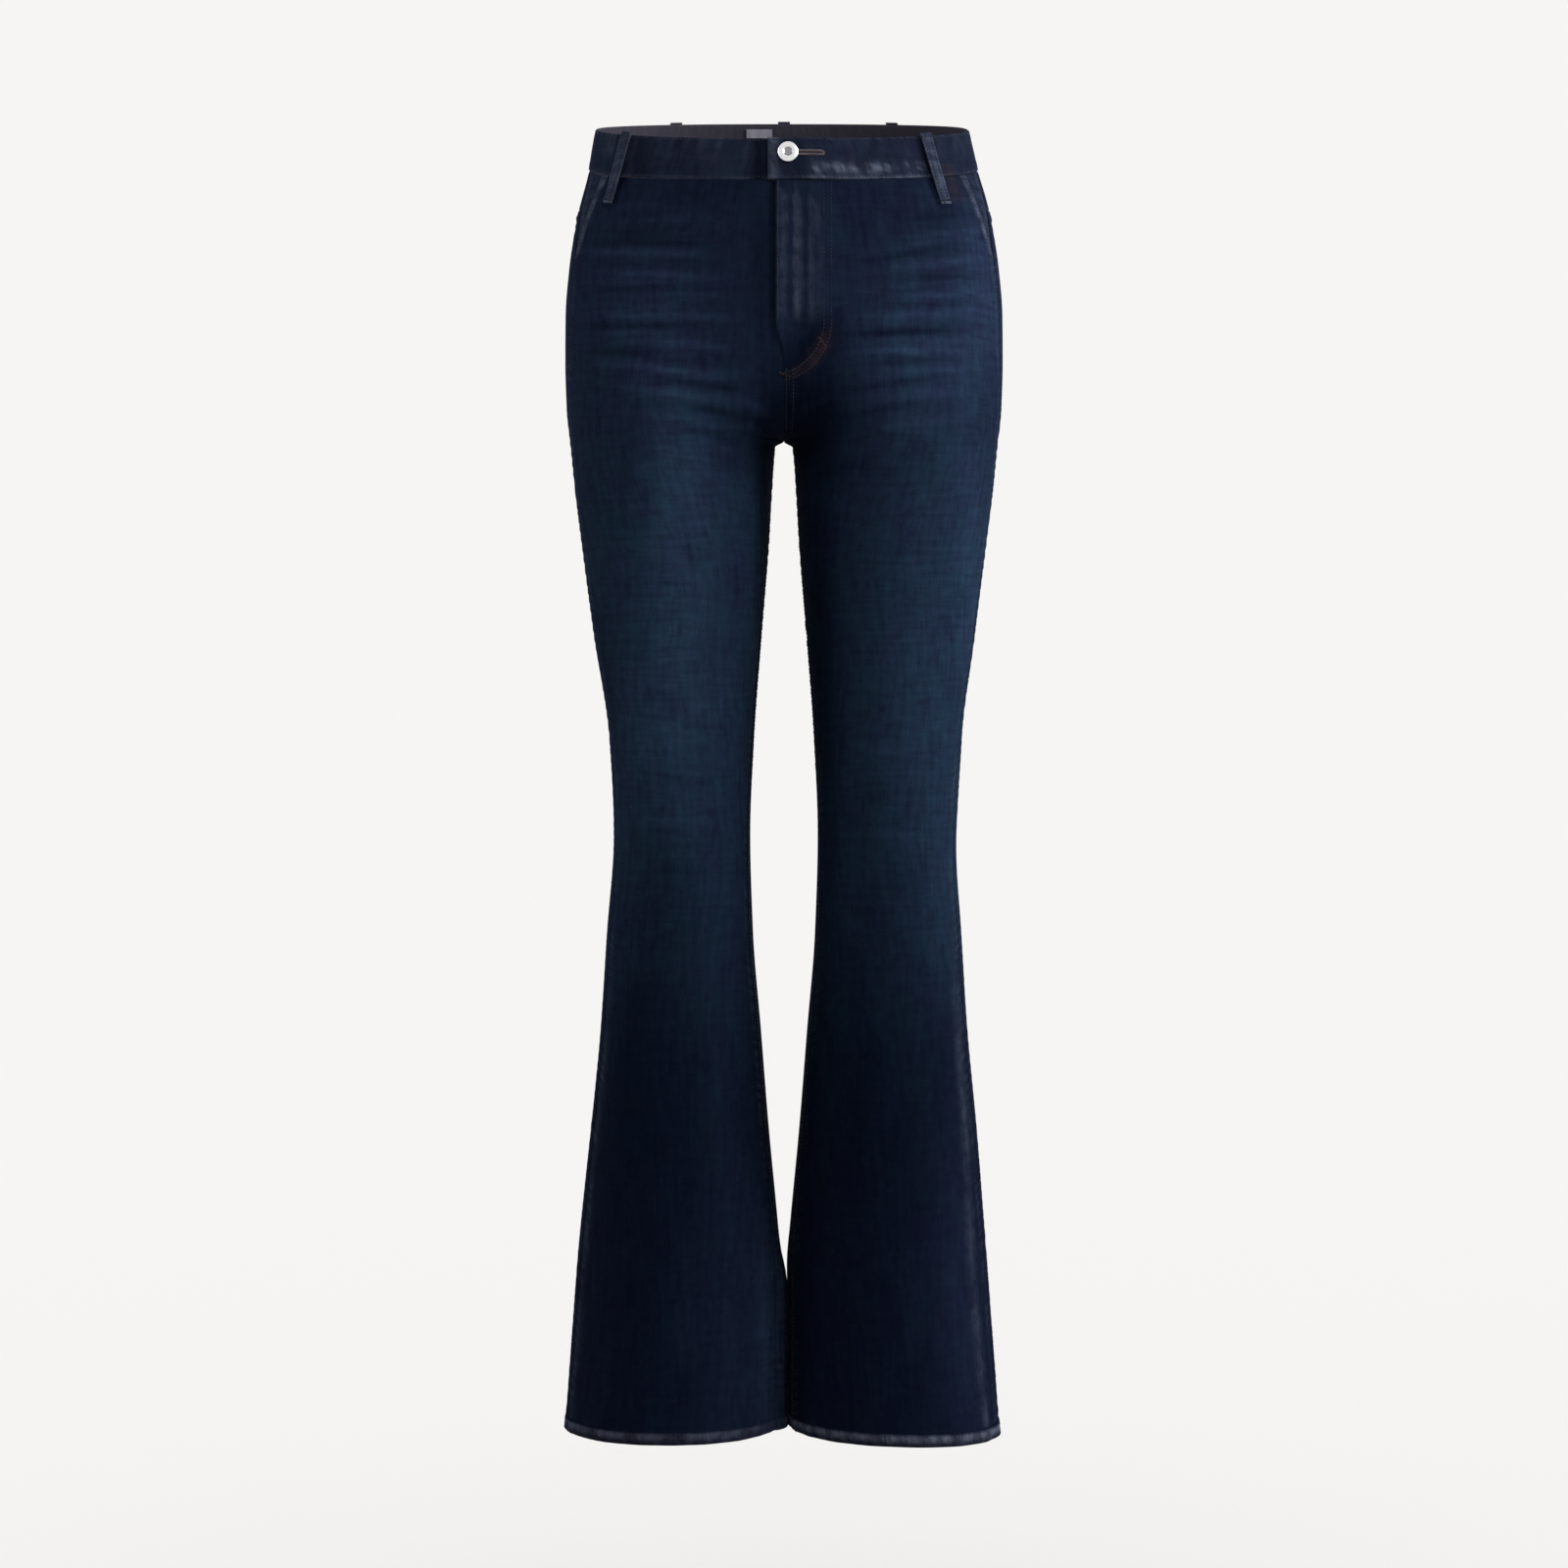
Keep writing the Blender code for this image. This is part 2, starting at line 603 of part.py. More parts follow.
def back_panel(leg, materials, collection):
    """One back with its leg, from the yoke to the hem."""
    shares = np.linspace(0.0, 1.0, BACK_COLUMNS)

    def inner_edge(height):
        back = girth_length(height, "back")
        return half_seam_gap(height) - back - seam_value("inseam_forward", height)

    def outer_edge(height):
        return seam_value("side_seam", height) - 0.5 * SEAM_GAP

    girth, height = panel_grid(PANEL_ROWS, shares, inner_edge, outer_edge, yoke_seam, leg)
    proud = np.zeros_like(height)
    proud[-2:] = HEM_PROUD
    outer = cloth_face(girth, height, leg, proud)
    inner = cloth_face(girth, height, leg, np.full_like(height, -CLOTH))
    name = "back_left" if leg > 0 else "back_right"
    panel_walls(name, height, outer, inner, materials["denim"], collection)
    return girth, height, outer


def yoke(leg, materials, collection):
    """The shaped piece between the waistband and one back."""
    half_gap = 0.5 * SEAM_GAP
    rows, columns = YOKE_GRID
    shares = np.linspace(0.0, 1.0, columns)
    level = np.full_like(shares, YOKE_LEVEL)
    middle = -girth_length(level, "back") + half_gap
    side = seam_value("side_seam", level) - half_gap
    guide = middle + (side - middle) * shares
    top = band_seam(guide) - BAND_SEAM_GAP
    bottom = yoke_seam(guide)
    height = top + (bottom - top) * np.linspace(0.0, 1.0, rows)[:, None]
    middle = -girth_length(height, "back") + half_gap
    side = seam_value("side_seam", height) - half_gap
    girth = middle + (side - middle) * shares
    outer = cloth_face(girth, height, leg, np.zeros_like(height))
    inner = cloth_face(girth, height, leg, np.full_like(height, -CLOTH))
    name = "yoke_left" if leg > 0 else "yoke_right"
    return cloth_wall(name, outer, inner, materials["denim"], collection)


def pocket_facing(leg, materials, collection):
    """The piece that shows inside a front pocket's mouth, lying under the front and the side seam."""
    rows, columns = FACING_GRID
    shares = np.linspace(0.0, 1.0, columns)
    lowest = MOUTH_BOTTOM - FACING_BELOW_MOUTH
    level = np.full_like(shares, MOUTH_TOP)
    mouth = pocket_mouth(level) + FACING_UNDER_FRONT
    seam = seam_value("side_seam", level) - FACING_UNDER_SEAM
    top = band_seam(mouth + (seam - mouth) * shares) - BAND_SEAM_GAP
    height = top + (lowest - top) * np.linspace(0.0, 1.0, rows)[:, None]
    mouth = pocket_mouth(height) + FACING_UNDER_FRONT
    seam = seam_value("side_seam", height) - FACING_UNDER_SEAM
    girth = mouth + (seam - mouth) * shares
    points = cloth_face(girth, height, leg, np.full_like(height, -FACING_DROP - CLOTH))
    name = "pocket_facing_left" if leg > 0 else "pocket_facing_right"
    return cloth_sheet(name, points, (leg, -0.3, 0.0), CLOTH, materials["denim"], collection)


def waistband(leg, materials, collection):
    """Half of the waistband, seamed at the middle of the back. The left end laps over the right one."""
    half_gap = 0.5 * SEAM_GAP
    lap = LEFT_BAND_LAP if leg > 0 else RIGHT_BAND_LAP
    rows, columns = BAND_GRID
    shares = np.linspace(0.0, 1.0, columns)
    level = np.full_like(shares, WAIST_LEVEL)
    start = -girth_length(level, "back") + half_gap
    end = girth_length(level, "front") + lap
    edge = waist_edge(start + (end - start) * shares)
    height = edge - BAND_HEIGHT * np.linspace(0.0, 1.0, rows)[:, None]
    start = -girth_length(height, "back") + half_gap
    end = girth_length(height, "front") + lap
    girth = start + (end - start) * shares
    lift = np.zeros_like(height)
    if leg > 0:
        from_middle = girth_length(height, "front") - girth
        ramp = (LAP_RAMP_START - from_middle) / (LAP_RAMP_START - LAP_RAMP_END)
        lift = BAND_LAP_LIFT * soft_step(ramp)
    outer = cloth_face(girth, height, leg, lift + BAND_PROUD)
    inner = cloth_face(girth, height, leg, lift + BAND_PROUD - BAND_THICKNESS)
    name = "waistband_left" if leg > 0 else "waistband_right"
    return cloth_wall(name, outer, inner, materials["denim_band"], collection)


def belt_loop(name, middle, leg, materials, collection):
    """A narrow strip over the waistband, arched a little and sewn down below the band's seam.

    Middle is its girth distance, or None for the loop over the seam at the middle of the back.
    """
    rows, columns = LOOP_GRID
    across = np.linspace(-0.5, 0.5, columns) * LOOP_WIDTH
    down = np.linspace(0.0, 1.0, rows)[:, None]
    length = LOOP_ABOVE_BAND + BAND_HEIGHT + LOOP_BELOW_BAND
    guide = across + (middle or -girth_length(np.full_like(across, WAIST_LEVEL), "back"))
    edge = waist_edge(guide)
    height = edge + LOOP_ABOVE_BAND - length * down
    girth = across + (middle or -girth_length(height, "back"))
    below = (edge - BAND_HEIGHT - height) / (LOOP_BELOW_BAND * LOOP_DROP_SHARE)
    arch = LOOP_ARCH * np.sin(math.pi * np.clip(down / LOOP_ARCH_SHARE, 0.0, 1.0))
    offset = LYING_GAP + BAND_PROUD * (1.0 - soft_step(below)) + arch
    points = cloth_face(girth, height, leg, offset)
    outwards = points[0, 0] * np.array((1.0, 1.0, 0.0))
    return cloth_sheet(name, points, outwards, LOOP_THICKNESS, materials["denim_band"], collection)


def between_points(grid, row, column):
    """Values of a panel's grid between its points, on the facets that they span."""
    low = np.clip(row.astype(int), 0, grid.shape[0] - 2)
    left = np.clip(column.astype(int), 0, grid.shape[1] - 2)
    down = row - low
    right = column - left
    if grid.ndim == 3:
        down = down[..., None]
        right = right[..., None]
    upper = grid[low, left] * (1.0 - right) + grid[low, left + 1] * right
    lower = grid[low + 1, left] * (1.0 - right) + grid[low + 1, left + 1] * right
    return upper * (1.0 - down) + lower * down


def back_pocket(leg, panel, materials, collection):
    """A plain five-sided patch on the seat, made from the back panel's own points moved out."""
    girth, height, outer = panel
    rows = np.arange(POCKET_TOP_ROW, POCKET_BASE_ROW + 1.0)
    down = (rows - rows[0]) / (rows[-1] - rows[0])
    first = POCKET_TOP_COLUMNS[0] + (POCKET_BASE_COLUMNS[0] - POCKET_TOP_COLUMNS[0]) * down
    last = POCKET_TOP_COLUMNS[1] + (POCKET_BASE_COLUMNS[1] - POCKET_TOP_COLUMNS[1]) * down
    inside = np.arange(math.ceil(first[-1]), math.floor(last[-1]) + 1)
    column = np.array([[start, *inside, end] for start, end in zip(first, last)])
    column = np.concatenate((column, column[-1:], column[-1:]))
    point = 1.0 - np.abs(np.linspace(-1.0, 1.0, column.shape[1])) * (1.0 - POCKET_CORNER_SHARE)
    row = np.concatenate((rows, rows[-1:], rows[-1:]))[:, None] + np.zeros_like(column)
    row[-2] += 0.5 * POCKET_POINT_ROWS * point
    row[-1] += POCKET_POINT_ROWS * point
    level = between_points(height, row, column)
    normal = form_normal(between_points(girth, row, column), level, form_point)
    points = between_points(outer, row, column) + normal * np.array((leg, 1.0, 1.0)) * POCKET_GAP
    name = "back_pocket_left" if leg > 0 else "back_pocket_right"
    finish = materials["denim"]
    return cloth_sheet(name, points, (0.0, 1.0, 0.0), POCKET_THICKNESS, finish, collection)


def label(materials, collection):
    """The bare label inside the back of the waistband, on the right half."""
    rows, columns = LABEL_GRID
    across = np.linspace(-0.5, 0.5, columns) * LABEL_WIDTH
    level = np.full_like(across, WAIST_LEVEL)
    guide = -girth_length(level, "back") - LABEL_CENTRE_X + across
    down = np.linspace(0.0, 1.0, rows)[:, None]
    height = waist_edge(guide) - LABEL_BELOW_EDGE - LABEL_HEIGHT * down
    girth = -girth_length(height, "back") - LABEL_CENTRE_X + across
    behind_band = BAND_PROUD - BAND_THICKNESS - LYING_GAP - LABEL_THICKNESS
    points = cloth_face(girth, height, -1.0, np.full_like(height, behind_band))
    finish = materials["plain_label"]
    return cloth_sheet("label", points, (0.0, 1.0, 0.0), LABEL_THICKNESS, finish, collection)


def button(materials, collection):
    """The fly's shank button: a turned profile standing on the lapped end of the left waistband."""
    near = np.array([girth_length(np.array([WAIST_LEVEL]), "front")[0] - BUTTON_X])
    height = waist_edge(near) - BUTTON_BELOW_EDGE
    girth = girth_length(height, "front") - BUTTON_X
    seat = cloth_face(girth, height, 1.0, np.array([BAND_PROUD + BAND_LAP_LIFT + SEAM_GAP]))[0]
    outwards = form_normal(girth, height, form_point)[0]
    mesh = bpy.data.meshes.new("button")
    vertices = [(radius, 0.0, rise) for radius, rise in BUTTON_PROFILE]
    edges = [(i, i + 1) for i in range(len(vertices) - 1)]
    mesh.from_pydata(vertices, edges, [])
    piece = place_piece("button", mesh, materials["bright_metal"], collection)
    piece.location = Vector(seat)
    piece.rotation_mode = "QUATERNION"
    piece.rotation_quaternion = Vector(outwards).to_track_quat("Z", "Y")
    screw = piece.modifiers.new("turned", "SCREW")
    screw.steps = BUTTON_STEPS
    screw.render_steps = BUTTON_STEPS
    screw.use_merge_vertices = True
    screw.merge_threshold = 0.00001
    screw.use_smooth_shade = True
    return piece


def main():
    for old in list(bpy.data.objects):
        bpy.data.objects.remove(old, do_unlink=True)
    garment = bpy.data.collections.new("trouser_jeans")
    bpy.context.scene.collection.children.link(garment)
    materials = {name: make_material(name) for name in MATERIALS}
    for leg in (1, -1):
        side = "left" if leg > 0 else "right"
        front_panel(leg, materials, garment)
        back = back_panel(leg, materials, garment)
        yoke(leg, materials, garment)
        pocket_facing(leg, materials, garment)
        waistband(leg, materials, garment)
        back_pocket(leg, back, materials, garment)
        front_girth = LEFT_FRONT_LOOP_GIRTH if leg > 0 else RIGHT_FRONT_LOOP_GIRTH
        belt_loop("belt_loop_front_" + side, front_girth, leg, materials, garment)
        belt_loop("belt_loop_back_" + side, BACK_LOOP_GIRTH, leg, materials, garment)
    belt_loop("belt_loop_back_middle", None, 1, materials, garment)
    button(materials, garment)
    label(materials, garment)


main()
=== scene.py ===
# High-rise flared jeans in dark indigo denim, filled out as worn: cloth shells, sewing, wear and studio.
# Metres, +Z up, the front faces -Y and the wearer's left leg is at +X.
import math

import bpy
import numpy as np
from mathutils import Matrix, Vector


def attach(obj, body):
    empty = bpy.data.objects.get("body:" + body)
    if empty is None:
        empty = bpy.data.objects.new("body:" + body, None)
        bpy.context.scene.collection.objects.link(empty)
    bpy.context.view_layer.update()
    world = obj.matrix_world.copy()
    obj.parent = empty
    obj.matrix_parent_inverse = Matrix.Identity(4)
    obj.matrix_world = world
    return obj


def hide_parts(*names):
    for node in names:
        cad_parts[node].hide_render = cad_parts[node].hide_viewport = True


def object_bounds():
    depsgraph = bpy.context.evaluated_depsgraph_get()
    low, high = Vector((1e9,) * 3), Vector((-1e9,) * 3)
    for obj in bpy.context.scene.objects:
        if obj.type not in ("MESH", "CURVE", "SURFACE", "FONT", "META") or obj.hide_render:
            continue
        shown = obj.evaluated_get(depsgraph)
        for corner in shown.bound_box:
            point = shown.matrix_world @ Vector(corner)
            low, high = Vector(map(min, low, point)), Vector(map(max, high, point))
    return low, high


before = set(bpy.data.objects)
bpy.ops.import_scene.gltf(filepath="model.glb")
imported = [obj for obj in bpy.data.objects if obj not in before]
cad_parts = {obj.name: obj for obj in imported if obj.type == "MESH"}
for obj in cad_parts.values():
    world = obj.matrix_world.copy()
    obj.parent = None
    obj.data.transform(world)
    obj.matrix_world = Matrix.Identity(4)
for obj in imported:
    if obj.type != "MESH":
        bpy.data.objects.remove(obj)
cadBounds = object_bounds()
print("frame loaded:", len(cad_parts), "nodes")

# The garment's form: one row for each level. Outer and inner are distances from the middle, front and
# back are distances from y = 0, centre is where a section is widest.
form = {
    "crotch": -0.265,
    "saddle": 0.012,
    "frontRise": 0.085,
    "seatRise": 0.125,
    "risePower": 1.6,
    "bottom": -1.128,
    "top": 0.028,
    "levels": 579,
    "samples": 360,
    "steps": 240,
    "columns": ("height", "outer", "inner", "front", "back", "centre", "fullness"),
    "rows": (
        (0.03, 0.1525, 0.0, 0.0775, 0.086, -0.001, 2.16),
        (0.0, 0.1583, 0.0, 0.082, 0.09, 0.0, 2.16),
        (-0.04, 0.1655, 0.0, 0.0885, 0.095, 0.001, 2.16),
        (-0.08, 0.176, 0.0, 0.095, 0.102, 0.003, 2.15),
        (-0.12, 0.1825, 0.0, 0.1, 0.1115, 0.005, 2.15),
        (-0.16, 0.1858, 0.0, 0.1025, 0.12, 0.007, 2.15),
        (-0.2, 0.1862, 0.0, 0.102, 0.124, 0.009, 2.15),
        (-0.24, 0.185, 0.0, 0.0985, 0.122, 0.01, 2.15),
        (-0.265, 0.1823, 0.0, 0.095, 0.114, 0.01, 2.14),
        (-0.27, 0.1817, 0.0076, 0.0945, 0.1125, 0.01, 2.14),
        (-0.31, 0.1776, 0.011, 0.092, 0.1, 0.007, 2.12),
        (-0.35, 0.1725, 0.0132, 0.0905, 0.093, 0.004, 2.1),
        (-0.434, 0.1612, 0.0196, 0.085, 0.082, -0.001, 2.08),
        (-0.517, 0.1487, 0.0254, 0.0775, 0.069, -0.004, 2.06),
        (-0.6, 0.145, 0.0286, 0.071, 0.06, -0.005, 2.05),
        (-0.684, 0.1512, 0.0263, 0.066, 0.066, -0.001, 2.06),
        (-0.768, 0.157, 0.0196, 0.066, 0.074, 0.003, 2.08),
        (-0.851, 0.165, 0.013, 0.068, 0.08, 0.005, 2.1),
        (-0.935, 0.1717, 0.005, 0.072, 0.085, 0.006, 2.12),
        (-0.977, 0.175, 0.0013, 0.074, 0.087, 0.006, 2.13),
        (-1.02, 0.1782, 0.0013, 0.076, 0.089, 0.006, 2.15),
        (-1.11, 0.1849, 0.0013, 0.08, 0.092, 0.006, 2.18),
        (-1.13, 0.1864, 0.0013, 0.081, 0.093, 0.006, 2.18),
    ),
}
# Seam lines as girth distances, measured round the section from the outermost point of the side:
# positive towards the front, negative towards the back.
seams = {
    "columns": ("height", "sideSeam", "inseamForward"),
    "rows": (
        (0.03, 0.012, 0.0),
        (-0.036, 0.014, 0.0),
        (-0.114, 0.03, 0.0),
        (-0.265, 0.029, 0.0),
        (-0.35, 0.027, 0.01),
        (-0.5, 0.025, 0.018),
        (-0.7, 0.025, 0.022),
        (-1.13, 0.025, 0.024),
    ),
    "gap": 0.0001,
    "crotchGap": 0.00016,
    "crotchReach": 0.004,
    "bandGap": 0.00015,
    "grainLevels": (-1.13, -0.9, -0.7, -0.5, -0.36, -0.18, -0.09, 0.03),
    "backShift": 0.0016,
    "backShiftTop": -0.135,
}
# The largest soft folds, in girth distance and height, in millimetres and degrees. Leg 0 means both.
folds = {
    "columns": ("leg", "girth", "height", "lean", "reach", "width", "depth"),
    "rows": (
        (0, -95, -560, 4, 85, 15, 2.4),
        (1, -85, -608, -6, 80, 14, 2.6),
        (-1, -100, -615, 8, 80, 14, 2.6),
        (0, -90, -660, -3, 75, 16, 2.2),
        (0, -125, -312, -24, 90, 18, 3),
        (0, -110, -362, -15, 75, 18, 2),
        (1, 110, -262, 12, 90, 16, 1.5),
        (-1, 105, -250, 10, 90, 16, 1.5),
        (1, 70, -990, 86, 120, 26, 2.2),
        (-1, 60, -980, 94, 120, 26, 2.2),
        (0, -100, -980, 90, 130, 30, 2.8),
    ),
}


def tableColumn(table, name):
    # one named column of a table, as an array
    return np.array([row[table["columns"].index(name)] for row in table["rows"]])


def smoothValues(at, heights, values):
    # cubic through a table's rows, whose slope there is the harmonic mean of the slopes beside it, so that
    # it never swings past
    step = np.diff(heights)
    slope = np.diff(values) / step
    product = slope[:-1] * slope[1:]
    total = np.where(product > 0, slope[:-1] + slope[1:], 1.0)
    tangent = np.concatenate((slope[:1], np.where(product > 0, 2 * product / total, 0.0), slope[-1:]))
    cell = np.clip(np.searchsorted(heights, at) - 1, 0, len(step) - 1)
    t = (at - heights[cell]) / step[cell]
    start = step[cell] * tangent[cell] * t * (1 - t)
    end = -step[cell] * tangent[cell + 1] * t * (1 - t)
    weight = t * t * (3 - 2 * t)
    return values[cell] * (1 - weight) + values[cell + 1] * weight + start * (1 - t) + end * t


def tableValue(table, name, height):
    # a table's column at any height, smooth between its rows, which go downwards
    return smoothValues(height, tableColumn(table, "height")[::-1], tableColumn(table, name)[::-1])


def softStep(value):
    # 3 t^2 - 2 t^3, from 0 to 1
    t = np.clip(value, 0.0, 1.0)
    return t * t * (3 - 2 * t)


def bell(distance, width):
    # exp(-(distance / width)^2)
    return np.exp(-(distance / width) ** 2)


def raised(distance, reach, ramp):
    # 1 within the reach of an edge, easing to 0 over the ramp beyond it
    return softStep((reach + ramp - distance) / ramp)


def halfOutlines(height, towardsBack):
    # superellipse in a bent coordinate: x = sqrt(bent^2 - saddle^2), bent = middle - halfWidth cos^(2/p),
    # y = centre + depth sin^(2/p); above the crotch it is cut off at x = 0, further out the higher it is
    outer, inner, centre, power, reach = (
        tableValue(form, name, height)[:, None]
        for name in ("outer", "inner", "centre", "fullness", "back" if towardsBack else "front")
    )
    depth = reach - centre if towardsBack else -reach - centre
    blend = form["seatRise"] if towardsBack else form["frontRise"]
    saddle = form["saddle"]
    bentOuter = np.hypot(outer, saddle)
    above = np.maximum(height[:, None] - form["crotch"], 0.0)
    share = np.maximum(0.0, 1 - above / blend) ** form["risePower"]
    grown = (share * bentOuter - bentOuter + 2 * saddle) / (1 + share)
    bentInner = np.where(above > 0, grown, np.hypot(inner, saddle))
    middle = 0.5 * (bentOuter + bentInner)
    halfWidth = 0.5 * (bentOuter - bentInner)
    first = np.arccos(np.minimum(1.0, share ** (power / 2)))
    angle = first + (math.pi - first) * np.linspace(1, 0, form["samples"])[None, :] ** 2
    cosine = np.cos(angle)
    bent = middle - halfWidth * np.sign(cosine) * np.abs(cosine) ** (2 / power)
    x = np.sqrt(np.maximum(bent ** 2 - saddle ** 2, 0.0))
    y = centre + depth * np.abs(np.sin(angle)) ** (2 / power)
    x[:, -1] = np.where(above[:, 0] > 0, 0.0, x[:, -1])
    return x, y


def tabledForm():
    # every half outline at evenly spaced girth distances, with levels closest just above the crotch
    regular = np.linspace(form["bottom"], form["top"], form["levels"])
    below = form["crotch"] - np.linspace(0.05, 1, 12) ** 2 * 0.012
    over = form["crotch"] + np.linspace(0, 1, 30) ** 2 * 0.03
    heights = np.unique(np.round(np.concatenate((regular, below, over)), 6))
    tabled = {"heights": heights}
    for key, towardsBack in (("front", False), ("back", True)):
        x, y = halfOutlines(heights, towardsBack)
        along = np.cumsum(np.hypot(np.diff(x, axis=1), np.diff(y, axis=1)), axis=1)
        along = np.concatenate((np.zeros((len(heights), 1)), along), axis=1)
        rows = [
            (np.interp(even, track, across), np.interp(even, track, depth))
            for track, across, depth in zip(along, x, y)
            for even in (np.linspace(0, track[-1], form["steps"] + 1),)
        ]
        tabled[key] = np.stack([np.stack(row, axis=-1) for row in rows])
        tabled[key + "Length"] = along[:, -1]
    return tabled


tabled = tabledForm()


def girthLength(height, key):
    # length of the front's or the back's half outline, straight between the tabled levels
    return np.interp(height, tabled["heights"], tabled[key + "Length"])


def lookUp(key, share, height):
    # bilinear between the four nearest points of the tabled outlines
    table = tabled[key]
    level = np.interp(height, tabled["heights"], np.arange(len(table)))
    low = np.clip(level.astype(int), 0, len(table) - 2)
    across = np.clip(share, 0, 1) * form["steps"]
    first = np.clip(across.astype(int), 0, form["steps"] - 1)
    up = (level - low)[..., None]
    along = (across - first)[..., None]
    lower = table[low, first] * (1 - along) + table[low, first + 1] * along
    upper = table[low + 1, first] * (1 - along) + table[low + 1, first + 1] * along
    return lower * (1 - up) + upper * up


def wrapGirth(girth, height):
    # below the crotch a girth distance past the inner end comes round from the other side
    front = girthLength(height, "front")
    back = girthLength(height, "back")
    turn = np.where(girth > front, -(front + back), 0.0) + np.where(girth < -back, front + back, 0.0)
    return np.where(height < form["crotch"], girth + turn, girth)


def formPoint(girth, height):
    # the place a girth distance round the outline at a height; past the middle it is mirrored
    girth = wrapGirth(girth, height)
    shareFront = girth / girthLength(height, "front")
    shareBack = -girth / girthLength(height, "back")
    atFront = lookUp("front", np.where(shareFront > 1, 2 - shareFront, shareFront), height)
    atBack = lookUp("back", np.where(shareBack > 1, 2 - shareBack, shareBack), height)
    flat = np.where((girth >= 0)[..., None], atFront, atBack)
    pastMiddle = (shareFront > 1) | (shareBack > 1)
    x = np.where(pastMiddle, -flat[..., 0], flat[..., 0])
    return np.stack((x, flat[..., 1], height), axis=-1)


def surfaceNormal(girth, height, point, step=0.0008):
    # cross product of the differences up and round the surface
    roundWay = point(girth + step, height) - point(girth - step, height)
    upWay = point(girth, height + step) - point(girth, height - step)
    normal = np.cross(upWay, roundWay)
    return normal / np.linalg.norm(normal, axis=-1, keepdims=True)


def foldField(table, across, up, leg):
    # sum of depth (1 - (along / reach)^2)^2 exp(-(off / width)^2), each fold turned by its lean; places,
    # reach and width are in millimetres
    total = np.zeros_like(across)
    for row in table["rows"]:
        fold = dict(zip(table["columns"], row))
        if fold["leg"] in (0, leg):
            lean = math.radians(fold["lean"])
            sideways = across - 0.001 * fold[table["columns"][1]]
            upwards = up - 0.001 * fold[table["columns"][2]]
            along = sideways * math.cos(lean) + upwards * math.sin(lean)
            off = upwards * math.cos(lean) - sideways * math.sin(lean)
            fade = np.maximum(0.0, 1 - (along / (0.001 * fold["reach"])) ** 2) ** 2
            total += fold["depth"] * fade * bell(off, 0.001 * fold["width"])
    return total


# Where the two sides differ: the right leg (at the viewer's left) stands out a little below the knee and
# laps in front of the left one where they meet, and the left hip is slimmer at the waist.
sway = {
    "flareOut": 0.0032,
    "flareStart": -0.82,
    "kneeOut": 0.003,
    "kneeHeight": -0.54,
    "waistIn": 0.003,
    "meetStart": -0.945,
    "meetOver": 0.0058,
    "meetUnder": 0.0027,
    "meetGirth": 0.009,
    "meetWidth": 0.012,
}


def swayShift(girth, height, leg):
    # bells of girth distance round the outermost and the innermost line, eased in by height
    atSide = bell(girth, 0.055)
    if leg < 0:
        shift = sway["flareOut"] * softStep((sway["flareStart"] - height) / 0.15) * atSide
    else:
        shift = sway["kneeOut"] * bell(height - sway["kneeHeight"], 0.09) * atSide
        shift = shift - sway["waistIn"] * softStep((height + 0.06) / 0.055) * bell(girth, 0.035)
    front = girthLength(height, "front") - girth
    back = -girthLength(height, "back") - girth
    past = np.where(girth >= 0, front, back) - sway["meetGirth"]
    low = softStep((sway["meetStart"] - height) / 0.045)
    meet = bell(past, sway["meetWidth"]) * (sway["meetOver"] if leg < 0 else -sway["meetUnder"])
    return shift + meet * low


def clothPoint(girth, height, leg):
    # form - normal (folds - sway): the folds sink into the form and the sway stands out of it
    girth = wrapGirth(girth, height)
    depth = 0.001 * foldField(folds, girth, height, leg) - swayShift(girth, height, leg)
    return formPoint(girth, height) - surfaceNormal(girth, height, formPoint) * depth[..., None]


def clothFace(girth, height, leg, offset):
    # the cloth's outer face moved out by the offset, mirrored for the right leg
    def point(atGirth, atHeight):
        return clothPoint(atGirth, atHeight, leg)

    normal = surfaceNormal(girth, height, point)
    return (point(girth, height) + normal * np.asarray(offset)[..., None]) * np.array((leg, 1.0, 1.0))


# The photo's camera: a long lens at the height of the thighs.
view = {"distance": 3.2, "height": -0.45, "aim": -0.5573, "lens": 86.2, "sensor": 36.0}


def viewPlace(girth, height, leg):
    # where a point shows from the front or the back, projected on the plane y = 0
    place = formPoint(girth, height)
    far = 1 + place[..., 1] / view["distance"]
    return leg * place[..., 0] / far, view["height"] + (height - view["height"]) / far


def unevenness(at, scale, seed):
    # smooth noise along a line, -1 to 1: eased steps between seeded values one scale apart
    values = np.random.default_rng(seed).uniform(-1, 1, 1024)
    place = np.asarray(at) / scale + 500
    cell = np.floor(place).astype(int)
    t = place - cell
    t = t * t * (3 - 2 * t)
    return values[cell % 1024] * (1 - t) + values[(cell + 1) % 1024] * t


def mottle(at, scale, seed):
    # the same noise from 0 to 1
    return 0.5 + 0.5 * unevenness(at, scale, seed)


def pucker(at, wave, seed):
    # sine whose phase and height wander, so that no two puckers are alike
    phase = at / wave + 0.75 * unevenness(at, 2.7 * wave, seed)
    return np.sin(2 * math.pi * phase) * (0.6 + 0.4 * unevenness(at, 1.9 * wave, seed + 1))


